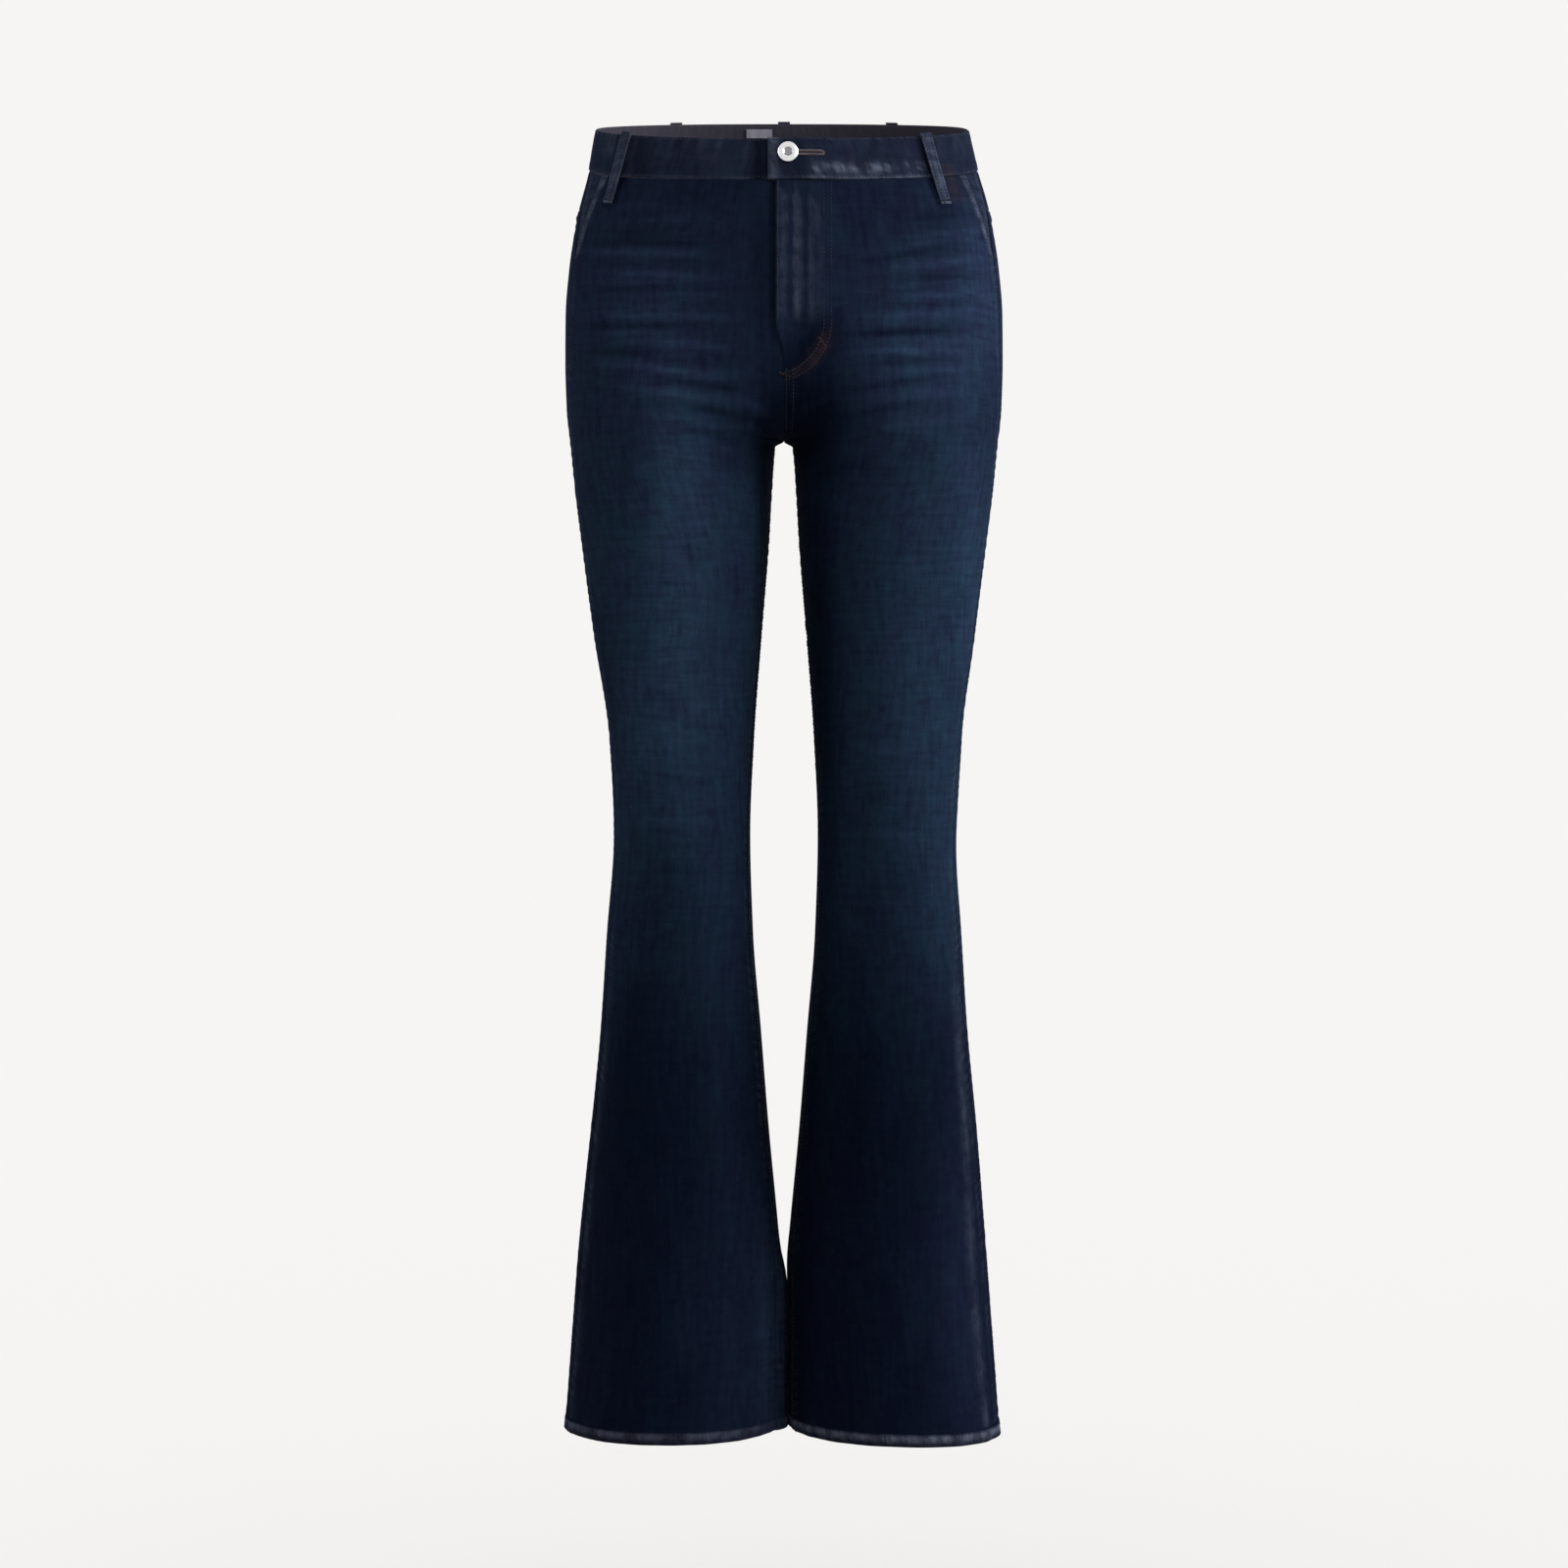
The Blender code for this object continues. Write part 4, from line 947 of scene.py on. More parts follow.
def hemRelief(girth, height, leg):
    # turned-up hem: a step where it ends, a rolled lower edge and slanting rope marks; their wear, less a
    # painted shade line along the step
    seed = hem["seed"] + hem["leftSeeds"] * (leg > 0)
    bottom = hem["height"] - hemLine(girth, np.full_like(girth, hem["height"]), leg)
    rise = height - bottom
    step = hem["proud"] * softStep((hem["turnUp"] + 0.0006 - rise) / 0.0012)
    near = raised(rise, hem["turnUp"] - 0.001, 0.003)
    rope = pucker(girth + hem["ropeLean"] * rise, hem["ropeWave"], seed)
    soft = pucker(girth, hem["softWave"], seed + 5) * raised(rise, 0.01, 0.04)
    shape = step + edgeRelief("hemBottom", rise) + hem["ropeDepth"] * rope * near
    shape = shape + grooves(rise, (relief["hemStitch"],)) + hem["softDepth"] * soft
    flecks = 0.52 + 0.48 * unevenness(girth, hem["fleckWave"], seed + 7)
    flecks = flecks * bell(rise - hem["fleckAt"], hem["fleckWidth"])
    worn = near * (hem["leftWear"] if leg > 0 else hem["rightWear"]) * (0.02 + 0.06 * rope + 0.6 * flecks)
    # painted shade along the top of the turned-up hem
    return shape, worn - 0.2 * bell(rise - 0.0112, 0.0011)


def flyShape(girth, height):
    # distance inside the J of the fly's stitches; it is positive within
    fromMiddle = girthLength(height, "front") - girth
    down = np.clip((fly["curveTop"] - height) / (fly["curveTop"] - fly["curveBottom"]), 0, 1)
    return fly["reach"] * np.sqrt(1 - down ** 2) - fly["drift"] * down - fromMiddle


def mouthRelief(toOuter, height):
    # the pocket mouth's folded edge: roll, ridge, two rows of stitches and puckers, and its wear
    shape = edgeRelief("mouth", toOuter) + grooves(toOuter, relief["mouthStitches"])
    shape = shape + puckerRow("mouth", height - 0.4 * toOuter, toOuter)
    worn = (mouth["wear"] + mouth["mottle"] * mottle(height, 0.0042, 14)) * rub("mouthTop", toOuter)
    return shape, worn + rubbedLine("mouthFold", toOuter)


def outerStripWearAndLight(toOuter, height, leg):
    # rubbed cloth and painted light: a bell across, whose middle drifts inwards on the left leg, and uneven
    # dashes along it
    drift = stripWearAndLight["leftDrift"] * softStep((stripWearAndLight["driftStart"] - height) / 0.3)
    inset = stripWearAndLight["leftInset"] + drift if leg > 0 else stripWearAndLight["rightInset"]
    worn = bell(toOuter - inset, stripWearAndLight["width"]) * softStep((stripWearAndLight["start"] - height) / 0.1)
    worn = worn * (0.7 + 0.3 * unevenness(height, stripWearAndLight["dashWave"], 19))
    return worn * (stripWearAndLight["left"] if leg > 0 else stripWearAndLight["right"])


def flyRelief(girth, height, toInner, lapped):
    # the lap of the left front: cloth raised within the J and along the edge, two rows of stitches, the
    # ripples between them, and stripes rubbed over the zip
    inside = flyShape(girth, height)
    aboveCurve = height - fly["curveBottom"]
    shape = fly["proud"] * softStep(inside / fly["ramp"] + 0.5) * softStep(aboveCurve / fly["ramp"])
    shape = shape + grooves(inside, (0.0, fly["rowApart"])) * softStep(aboveCurve / 0.002)
    ripple = pucker(height + 0.2 * toInner, 0.016, 21) * bell(toInner - 0.012, 0.016)
    shape = shape + lapped * (edgeRelief("flyLap", toInner) + fly["rippleDepth"] * ripple)
    along = softStep((fly["stripesTop"] - height) / 0.034)
    along = along * softStep((height - fly["stripesEnd"]) / 0.018)
    worn = 0.05 * ripple * lapped
    for centre, width, strength in flyStripes["rows"]:
        worn = worn + strength * bell(toInner - centre, width) * along
    upper = softStep((height + 0.08) / 0.02) * mottle(height, 0.006, 22)
    return shape, worn + upper * rubbedLine("flyEdge", toInner)


def frontRelief(girth, height, leg):
    # outward offset of a front's outer face, its wear with painted light along the shin and painted shade
    # lines at the seams and hem, and the wear of its creases
    toInner = frontInner(height, leg) - girth
    toOuter = girth - frontOuter(height)
    toTop = bandSeam(girth) - seams["bandGap"] - height
    seeds = relief["leftSeeds"] * (leg > 0)
    side, sideWear = seamEdge(toOuter, height, relief["sideReach"], relief["sideSeed"] + seeds, 0.3)
    stitched = softStep((height - relief["sideStitchEnd"]) / 0.004)
    side = side + grooves(toOuter, (relief["sideStitch"],)) * stitched
    folded, foldedWear = mouthRelief(toOuter, height)
    inseam, inseamWear = seamEdge(toInner, height, relief["inseamReach"], relief["inseamSeed"] + seeds,
                                  -0.3, 0.35)
    above = softStep((height - mouth["bottom"]) / 0.006)
    inLeg = softStep((form["crotch"] - height) / 0.02)
    lapped = softStep((height - fly["end"]) / fly["lapFade"])
    shape = side * (1 - above) + folded * above + inseam * inLeg
    shape = shape + edgeRelief("frontRise", toInner) * (1 - lapped) * (1 - inLeg)
    # the shin strip is wear and painted light
    wear = (sideWear + outerStripWearAndLight(toOuter, height, leg)) * (1 - above)
    wear = wear + foldedWear * above + inseamWear * inLeg
    if leg > 0:
        lap, lapWear = flyRelief(girth, height, toInner, lapped)
        shape, wear = shape + lap, wear + lapWear
    else:
        dip = fly["dip"] * raised(toInner, fly["under"] + 0.0012, 0.0085)
        shape = shape - lapped * dip
    shape = shape + edgeRelief("underBand", toTop) + puckerRow("frontTop", girth, toTop)
    return finishPanel(frontCreases, girth, height, leg, toInner, toOuter, shape, wear)


def finishPanel(creases, girth, height, leg, toInner, toOuter, shape, wear):
    # adds the hem, and the creases as far as they stay clear of both seams
    crease, creaseWear = creaseRelief(creases, girth, height, leg)
    low, lowWear = hemRelief(girth, height, leg)
    keep = softStep(toOuter / 0.01) * softStep(toInner / 0.008)
    return shape + crease * keep + low, wear + lowWear, creaseWear * keep


def backRelief(girth, height, leg):
    # outward offset of a back's outer face, its wear with painted shade lines at the seams and hem, and the
    # wear of its creases
    toInner = girth - backInner(height, leg)
    toOuter = backOuter(height) - girth
    toTop = yokeSeam(girth) - seams["bandGap"] - height
    seeds = relief["leftSeeds"] * (leg > 0)
    side, sideWear = seamEdge(toOuter, height, relief["sideReach"], relief["sideSeed"] + seeds,
                              -0.3, 0.8)
    inseam, inseamWear = seamEdge(toInner, height, relief["inseamReach"], relief["inseamSeed"] + seeds,
                                  0.3, 1.3)
    inseam = inseam + grooves(toInner, relief["inseamStitches"])
    rise = edgeRelief("backRise", toInner, leg > 0) + puckerRow("backRise", height, toInner)
    rise = rise + grooves(toInner, relief["riseStitches"]) * (leg > 0)
    inLeg = softStep((form["crotch"] - height) / 0.02)
    shape = side + inseam * inLeg + rise * (1 - inLeg)
    shape = shape + edgeRelief("backTop", toTop) + grooves(toTop, relief["yokeStitches"])
    shape = shape + puckerRow("backTop", girth, toTop)
    wear = sideWear + inseamWear * inLeg + rub("backRise", toInner) * (1 - inLeg)
    wear = wear + rub("backTop", toTop) * mottle(girth, 0.006, 16)
    return finishPanel(backCreases, girth, height, leg, toInner, toOuter, shape, wear)


def rustStain(girth, height):
    # brown fuzz of the thread: a bell between the two curved rows of the fly, uneven along them
    between = bell(flyShape(girth, height) - 0.5 * fly["rowApart"], stains["flyWidth"])
    low = softStep((fly["curveTop"] + 0.003 - height) / 0.018)
    low = low * softStep((height - fly["curveBottom"] - 0.001) / 0.004)
    fuzz = stains["fly"] + 0.34 * unevenness(girth + height, 0.0042, 57)
    return between * low * fuzz


def loopPaintedShadow(girth, height, leg):
    # painted shadow on the inner side of a front belt loop and just under its end: two bells
    past = girth - (loops["leftGirth"] if leg > 0 else loops["rightGirth"])
    down = bandSeam(girth) - loops["below"] - height
    beside = bell(past - 0.0078, 0.0026) * softStep(1 - down / 0.002)
    under = bell(past, 0.0062) * bell(down - 0.0022, 0.0018)
    return -loops["beside"] * beside - loops["under"] * under


def mouthStain(girth, height):
    # brown rub between the left belt loop and the upper end of the pocket mouth, a bell across
    below = bandSeam(girth) - height
    down = softStep((0.024 - below) / 0.006)
    down = down * softStep((below + 0.012) / 0.003)
    return stains["mouth"] * bell(girth - stains["mouthAt"], stains["mouthWidth"]) * down


def frontFadeAndPaintedLight(girth, height, leg):
    # the wash, the worn areas and the painted light and shade where they show from the front, and the
    # painted shadows at the loops
    across, up = viewPlace(girth, height, leg)
    return baseFade(height) + foldField(frontFadesAndPaintedLight, across, up, leg) + loopPaintedShadow(girth, height, leg)


def backFadeAndPaintedLight(girth, height, leg):
    # the wash, the worn areas and some painted light where they show from behind
    across, up = viewPlace(girth, height, leg)
    return baseFade(height) + foldField(backFadesAndPaintedLight, across, up, leg)


def gridFaces(rows, columns):
    # numbers of a grid's vertices, and the four-cornered faces between them
    index = np.arange(rows * columns).reshape(rows, columns)
    faces = np.stack((index[:-1, :-1], index[1:, :-1], index[1:, 1:], index[:-1, 1:]), axis=-1)
    return index, faces.reshape(-1, 4)


def makeMesh(name, vertices, faces, values=None, uv=None):
    # vertices, four-cornered faces and one value for each vertex in every attribute
    mesh = bpy.data.meshes.new(name)
    mesh.vertices.add(len(vertices))
    mesh.vertices.foreach_set("co", vertices.astype(np.float32).ravel())
    mesh.loops.add(faces.size)
    mesh.loops.foreach_set("vertex_index", faces.astype(np.int32).ravel())
    mesh.polygons.add(len(faces))
    mesh.polygons.foreach_set("loop_start", np.arange(0, faces.size, faces.shape[1], dtype=np.int32))
    mesh.update(calc_edges=True)
    for key, value in (values or {}).items():
        layer = mesh.attributes.new(key, "FLOAT", "POINT")
        layer.data.foreach_set("value", np.asarray(value, np.float32).ravel())
    if uv is not None:
        layer = mesh.uv_layers.new(name="cloth")
        layer.data.foreach_set("uv", uv[faces.ravel()].astype(np.float32).ravel())
    mesh.validate()
    return mesh


def placePiece(name, mesh, finish, nodes=(), sharp=50.0):
    # a mesh as a piece at the origin, with its finish, body and the nodes that it replaces
    mesh.materials.append(finish)
    mesh.shade_smooth()
    mesh.set_sharp_from_angle(angle=math.radians(sharp))
    piece = bpy.data.objects.new(name, mesh)
    bpy.context.scene.collection.objects.link(piece)
    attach(piece, "root")
    if nodes:
        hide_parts(*nodes)
    return piece


def clothShell(name, outer, inner, grain, height, values, slot, nodes):
    # closed wall: the outer grid, the inner grid and a rim of four-sided faces; grain runs across the cloth
    rows, columns = outer.shape[:2]
    index, front = gridFaces(rows, columns)
    count = rows * columns
    rim = np.concatenate((index[0, :], index[1:, -1], index[-1, -2::-1], index[-2:0:-1, 0]))
    after = np.roll(rim, -1)
    sides = np.stack((rim, after, after + count, rim + count), axis=-1)
    faces = np.concatenate((front, front[:, ::-1] + count, sides))
    vertices = np.concatenate((outer.reshape(-1, 3), inner.reshape(-1, 3)))
    # the wall's volume, summed over two triangles a face, tells whether the faces point outwards
    first, second, third, fourth = (vertices[faces[:, corner]] for corner in range(4))
    triangles = ((second, third), (third, fourth))
    if sum(np.einsum("ij,ij->i", first, np.cross(*pair)).sum() for pair in triangles) < 0:
        faces = faces[:, ::-1]
    both = {key: np.concatenate((value.ravel(), value.ravel())) for key, value in values.items()}
    both["inside"] = np.concatenate((np.zeros(count), np.ones(count)))
    uv = np.stack((grain.ravel(), height.ravel()), axis=-1)
    mesh = makeMesh(name, vertices, np.ascontiguousarray(faces), both, np.concatenate((uv, uv)))
    return placePiece(name, mesh, finishes[slot], nodes)


def sideName(leg):
    # the wearer's side of a leg, 1 or -1
    return "left" if leg > 0 else "right"


class Value:
    # one socket of a graph; arithmetic on it adds Math nodes
    def __init__(self, graph, socket):
        self.graph = graph
        self.socket = socket

    def mathNode(self, operation, first, second=0.0):
        # one Math node of two values or numbers
        return self.graph.add("ShaderNodeMath", {"operation": operation}, {0: first, 1: second})

    def __add__(self, other):
        return self.mathNode("ADD", self, other)

    def __sub__(self, other):
        return self.mathNode("SUBTRACT", self, other)

    def __mul__(self, other):
        return self.mathNode("MULTIPLY", self, other)

    def __rsub__(self, other):
        return self.mathNode("SUBTRACT", other, self)

    __radd__ = __add__
    __rmul__ = __mul__

    def sine(self):
        # of the value in radians
        return self.mathNode("SINE", self)

    def clamped(self):
        # kept between 0 and 1
        return self.graph.add("ShaderNodeClamp", {}, {0: self, 1: 0.0, 2: 1.0})


class Graph:
    # a material's node tree round one Principled BSDF
    def __init__(self, name, constants):
        self.material = bpy.data.materials.new(name)
        self.material.use_nodes = True
        self.tree = self.material.node_tree
        self.shader = self.tree.nodes["Principled BSDF"]
        for key, value in constants.items():
            self.shader.inputs[key].default_value = value

    def add(self, kind, settings, inputs, output=0):
        # one node: its settings first, then the values or links of its sockets
        node = self.tree.nodes.new(kind)
        for key, value in settings.items():
            setattr(node, key, value)
        for key, value in inputs.items():
            self.feed(node.inputs[key], value)
        return Value(self, node.outputs[output])

    def feed(self, socket, value):
        # links a value to a socket, or sets the socket to a number or colour
        if isinstance(value, Value):
            self.tree.links.new(value.socket, socket)
        else:
            socket.default_value = value

    def attribute(self, name):
        # a number kept with each vertex
        return self.add("ShaderNodeAttribute", {"attribute_name": name}, {}, "Fac")

    def clothPlace(self):
        # places across and along the cloth, from its own UV map
        place = self.add("ShaderNodeUVMap", {"uv_map": "cloth"}, {})
        return [self.add("ShaderNodeSeparateXYZ", {}, {0: place}, axis) for axis in (0, 1)]

    def noise(self, vector, scale, detail=2.0, roughness=0.5):
        # uneven values round 0.5
        inputs = {"Vector": vector, "Scale": scale, "Detail": detail, "Roughness": roughness}
        return self.add("ShaderNodeTexNoise", {}, inputs)

    def vector(self, x, y, z=0.0):
        # three values as one
        return self.add("ShaderNodeCombineXYZ", {}, {0: x, 1: y, 2: z})

    def mix(self, factor, first, second, blend="MIX"):
        # from the first colour to the second by the factor
        settings = {"data_type": "RGBA", "blend_type": blend}
        return self.add("ShaderNodeMix", settings, {0: factor, 6: first, 7: second}, 2)

    def bump(self, height, distance, strength=1.0, under=None):
        # fine relief as a normal, over the normal under it
        inputs = {"Height": height, "Distance": distance, "Strength": strength}
        if under is not None:
            inputs["Normal"] = under
        return self.add("ShaderNodeBump", {}, inputs)


denim = {
    "deep": (0.0016, 0.0027, 0.0074, 1),
    "faded": (0.0158, 0.0272, 0.0575, 1),
    "rubbed": (0.062, 0.072, 0.105, 1),
    "reverse": (0.033, 0.031, 0.042, 1),
    "reverseDark": (0.62, 0.62, 0.66, 1),
    "reverseLight": (1.25, 1.22, 1.2, 1),
    "rust": (0.023, 0.014, 0.016, 1),
    "purple": (1.14, 0.95, 1.04, 1),
    "teal": (0.86, 1.09, 0.95, 1),
    "tealHeight": 0.56,
    "tealReach": 0.42,
    "twillPitch": 0.00105,
    "yarnPitch": 0.00044,
    "roughness": 0.88,
    "sheen": 0.001,
    "specular": 0.004,
    # fineness of each pattern across and along the cloth, then start, detail and roughness of its noise:
    # streaks run along the leg, bars across it, blotches and clouds both ways, slub and grain are the yarns
    "patterns": {
        "streak": (190, 26, 0.0, 3.0, 0.55),
        "bars": (30, 230, 7.0, 3.0, 0.5),
        "blotch": (130, 105, 3.0, 3.0, 0.6),
        "cloud": (34, 22, 11.0, 2.0, 0.5),
        "slub": (900, 60, 2.0, 2.0, 0.6),
        "grain": (1500, 1300, 5.0, 2.0, 0.6),
    },
}


def denimFinish(name, deep, faded):
    # indigo from deep to faded by the fade, which also holds painted light and shade, and the patterns,
    # tinted teal round the knee, then rubbed by the wear, which also holds painted light, and stained; the
    # reverse is grey
    graph = Graph(name, {
        "Roughness": denim["roughness"],
        "Sheen Weight": denim["sheen"],
        "Specular IOR Level": denim["specular"],
    })
    u, v = graph.clothPlace()
    streak, bars, blotch, cloud, slub, grain = (
        graph.noise(graph.vector(u * across, v * along, start), 1.0, detail, roughness) - 0.5
        for across, along, start, detail, roughness in denim["patterns"].values()
    )
    wander = graph.noise(graph.vector(u * 90, v * 90, 9.0), 1.0, 2.0) * 1.4
    twill = ((u * 0.8 + v * 1.0) * (2 * math.pi / denim["twillPitch"]) + wander).sine()
    yarn = (v * (2 * math.pi / denim["yarnPitch"])).sine()
    fade = graph.attribute("fade")
    wear = graph.attribute("wear")
    inside = graph.attribute("inside")
    spread = (fade * 0.62).clamped() + 0.055
    barred = bars * ((fade * 1.5).clamped() * 0.85 + 0.45)
    broad = streak * 1.5 + blotch * 1.15 + barred * 1.3 + cloud * 0.8
    lift = (broad + slub * 0.9 + grain * 1.1 + twill * 0.1) * spread
    pale = (fade + lift).clamped()
    indigo = graph.mix(pale, deep, faded)
    fromKnee = (v + denim["tealHeight"]) * (1 / denim["tealReach"])
    hue = (cloud * 1.8 + blotch * 1.4 + 0.36 + (1 - fromKnee * fromKnee).clamped() * 0.44).clamped()
    tinted = graph.mix(1.0, indigo, graph.mix(hue, denim["purple"], denim["teal"]), "MULTIPLY")
    rubbed = (wear * (0.85 + blotch * 2.4 + grain * 2.4 + slub * 1.4 + twill * 0.16)).clamped()
    rust = (graph.attribute("rust") * (0.7 + blotch * 1.6 + grain * 1.6)).clamped()
    worn = graph.mix(rust, graph.mix(rubbed, tinted, denim["rubbed"]), denim["rust"])
    yarns = (slub * 1.2 + grain * 1.2 + 0.5).clamped()
    lined = graph.mix(yarns, denim["reverseDark"], denim["reverseLight"])
    reverse = graph.mix(1.0, denim["reverse"], lined, "MULTIPLY")
    graph.feed(graph.shader.inputs["Base Color"], graph.mix(inside, worn, reverse))
    cloth = graph.bump(twill * 0.5 + yarn * 0.2 + grain * 1.2, 0.00018, 0.6)
    soft = graph.bump(streak + blotch * 0.9 + bars * 0.6, 0.0006, 0.5, cloth)
    graph.feed(graph.shader.inputs["Normal"], soft)
    return graph.material


def threadFinish(name, dark, light):
    # from dark to light in patches and along the twist, which is a fine bump too
    graph = Graph(name, {"Roughness": 0.62, "Specular IOR Level": 0.04})
    place = graph.add("ShaderNodeTexCoord", {}, {}, "Object")
    patch = graph.noise(place, 90.0, 2.0)
    twist = graph.noise(place, 2600.0, 1.0)
    paleness = (patch * 1.6 + twist * 0.8 - 0.7).clamped()
    graph.feed(graph.shader.inputs["Base Color"], graph.mix(paleness, dark, light))
    graph.feed(graph.shader.inputs["Normal"], graph.bump(twist, 0.00012, 0.6))
    return graph.material


def metalFinish():
    # bright nickel with painted shade in the dish, and a fine rub in its colour, gloss and relief
    graph = Graph("buttonNickel", {"Metallic": 1.0})
    place = graph.add("ShaderNodeTexCoord", {}, {}, "Object")
    scuff = graph.noise(place, 900.0, 3.0, 0.6)
    # painted shade: the dish takes a darker colour than the rim
    paintedDishShade = (graph.attribute("paintedDishShade") + scuff * 0.3 - 0.15).clamped()
    colour = graph.mix(paintedDishShade, (0.78, 0.78, 0.81, 1), (0.27, 0.27, 0.3, 1))
    graph.feed(graph.shader.inputs["Base Color"], colour)
    graph.feed(graph.shader.inputs["Roughness"], scuff * 0.22 + 0.16)
    graph.feed(graph.shader.inputs["Normal"], graph.bump(scuff, 0.00004, 0.35))
    return graph.material


def labelFinish():
    # grey weave: sine ribs along the label and across it, uneven in tone
    graph = Graph("labelWeave", {"Roughness": 0.7, "Sheen Weight": 0.02, "Specular IOR Level": 0.1})
    u, v = graph.clothPlace()
    rib = (v * (2 * math.pi / 0.0007)).sine()
    cross = (u * (2 * math.pi / 0.0005)).sine()
    tone = (graph.noise(graph.vector(u * 300, v * 900), 1.0, 2.0) * 0.8 + rib * 0.08).clamped()
    colour = graph.mix(tone, (0.15, 0.145, 0.185, 1), (0.235, 0.225, 0.275, 1))
    graph.feed(graph.shader.inputs["Base Color"], colour)
    graph.feed(graph.shader.inputs["Normal"], graph.bump(rib * 0.6 + cross * 0.3, 0.00008, 0.6))
    return graph.material


finishes = {
    "denim": denimFinish("denimIndigo", denim["deep"], denim["faded"]),
    "denim_trim": denimFinish("denimTrim", (0.0026, 0.0036, 0.008, 1), (0.015, 0.0215, 0.043, 1)),
    "slate": threadFinish("threadSlate", (0.0034, 0.0048, 0.0098, 1), (0.023, 0.027, 0.04, 1)),
    "rust": threadFinish("threadRust", (0.01, 0.0078, 0.0102, 1), (0.031, 0.0215, 0.0245, 1)),
    "hole": threadFinish("threadButtonhole", (0.019, 0.015, 0.019, 1), (0.125, 0.098, 0.105, 1)),
    "button_metal": metalFinish(),
    "label_cloth": labelFinish(),
}
print("materials ready")


def frontFaceAt(girth, height, leg, extra):
    # a front's outer face, moved out by the extra
    return clothFace(girth, height, leg, frontRelief(girth, height, leg)[0] + extra)


def backFaceAt(girth, height, leg, extra):
    # a back's outer face, moved out by the extra
    return clothFace(girth, height, leg, backRelief(girth, height, leg)[0] + extra)


def innerOffset(height, crease):
    # the wall's inner face: the cloth below the crease, and the turned-up layer at the hem
    turned = softStep((hem["height"] + hem["turnUp"] - height) / 0.001)
    return crease * 0.9 - panel["cloth"] - panel["turnedThickness"] * turned


def panelWalls(reliefOf, creases, girth, height, leg):
    # outer and inner face of a front or back, and the wear of its seams and of its creases
    shape, wear, creaseWear = reliefOf(girth, height, leg)
    crease = creaseRelief(creases, girth, height, leg)[0]
    within = np.minimum(innerOffset(height, crease), shape - panel["least"])
    return clothFace(girth, height, leg, shape), clothFace(girth, height, leg, within), wear, creaseWear


# Shifts of the weave across the cloth, so that no two pieces show the same part of its pattern.
grainShift = {"front": 0.6, "back": 1.7, "yoke": 2.9, "band": 3.3, "patch": 4.1}


def makeFront(leg):
    # the wall of one front, from under the waistband to the hem
    name, side = "front_" + sideName(leg), sideName(leg)
    girth, height = panelGrid(lambda level: frontInner(level, leg), frontOuter, bandSeam, -0.068, leg)
    outer, inner, wear, creaseWear = panelWalls(frontRelief, frontCreases, girth, height, leg)
    turned = hem["height"] + hem["turnUp"] - hemLine(girth, height, leg)
    stain = rustStain(girth, height) + mouthStain(girth, height)
    values = {
        "fade": frontFadeAndPaintedLight(girth, height, leg) + creaseWear * (1.0 if leg > 0 else 1.18),
        "wear": wear,
        "rust": stains["hem"] * softStep((turned - height) / 0.002) + stain * (leg > 0),
    }
    grain = girth - grainMiddle(height, "front") + grainShift["front"] * leg
    piece = clothShell(name + "_cloth", outer, inner, grain, height, values, "denim",
                       (name + "_upper", name + "_lower"))
    "waistband_" + side


def makeBack(leg):
    # the wall of one back, from under the yoke to the hem
    name, side = "back_" + sideName(leg), sideName(leg)
    girth, height = panelGrid(lambda level: backInner(level, leg), backOuter, yokeSeam, -0.095, leg)
    outer, inner, wear, creaseWear = panelWalls(backRelief, backCreases, girth, height, leg)
    values = {"fade": backFadeAndPaintedLight(girth, height, leg) + creaseWear, "wear": wear}
    grain = girth - grainMiddle(height, "back") + grainShift["back"] * leg
    piece = clothShell(name + "_cloth", outer, inner, grain, height, values, "denim",
                       (name + "_upper", name + "_lower"))
    "yoke_" + side


for leg in (1, -1):
    makeFront(leg)
    makeBack(leg)
print("fronts and backs shaped")


def edgedShares(edge, width, first, last, count):
    # shares from 0 to 1: evenly from first to last, and close together along both edges of the width
    near = np.array(edge) / width
    return np.concatenate((near, np.linspace(first, last, count), 1 - near[::-1]))


def between(ends, shares, height):
    # girth = start + (end - start) share, for the two ends at that height
    start, end = ends(height)
    return start + (end - start) * shares


def makeYoke(leg):
    # the wall between the waistband and one back
    name, gap = "yoke_" + sideName(leg), 0.5 * seams["gap"]

    def seamEnds(height):
        return gap - girthLength(height, "back"), tableValue(seams, "sideSeam", height) - gap

    edge = (0, 0.0005, 0.0012, 0.0022, 0.0035, 0.0052, 0.0072, 0.0094, 0.012)
    shares = edgedShares(edge, 0.22, 0.07, 0.93, 66)
    guide = between(seamEnds, shares, np.full_like(shares, waist["yokeLevel"]))
    top = bandSeam(guide) - seams["bandGap"]
    height = top + (yokeSeam(guide) - top) * np.linspace(0, 1, 34)[:, None]
    girth = between(seamEnds, shares, height)
    shape, wear = yokeRelief(girth, height, leg)
    outer = clothFace(girth, height, leg, shape)
    inner = clothFace(girth, height, leg, 0 * shape - panel["cloth"])
    values = {"fade": backFadeAndPaintedLight(girth, height, leg), "wear": wear}
    grain = girth + grainShift["yoke"] * leg
    piece = clothShell(name + "_cloth", outer, inner, grain, height, values, "denim", (name,))
    "waistband_" + sideName(leg)


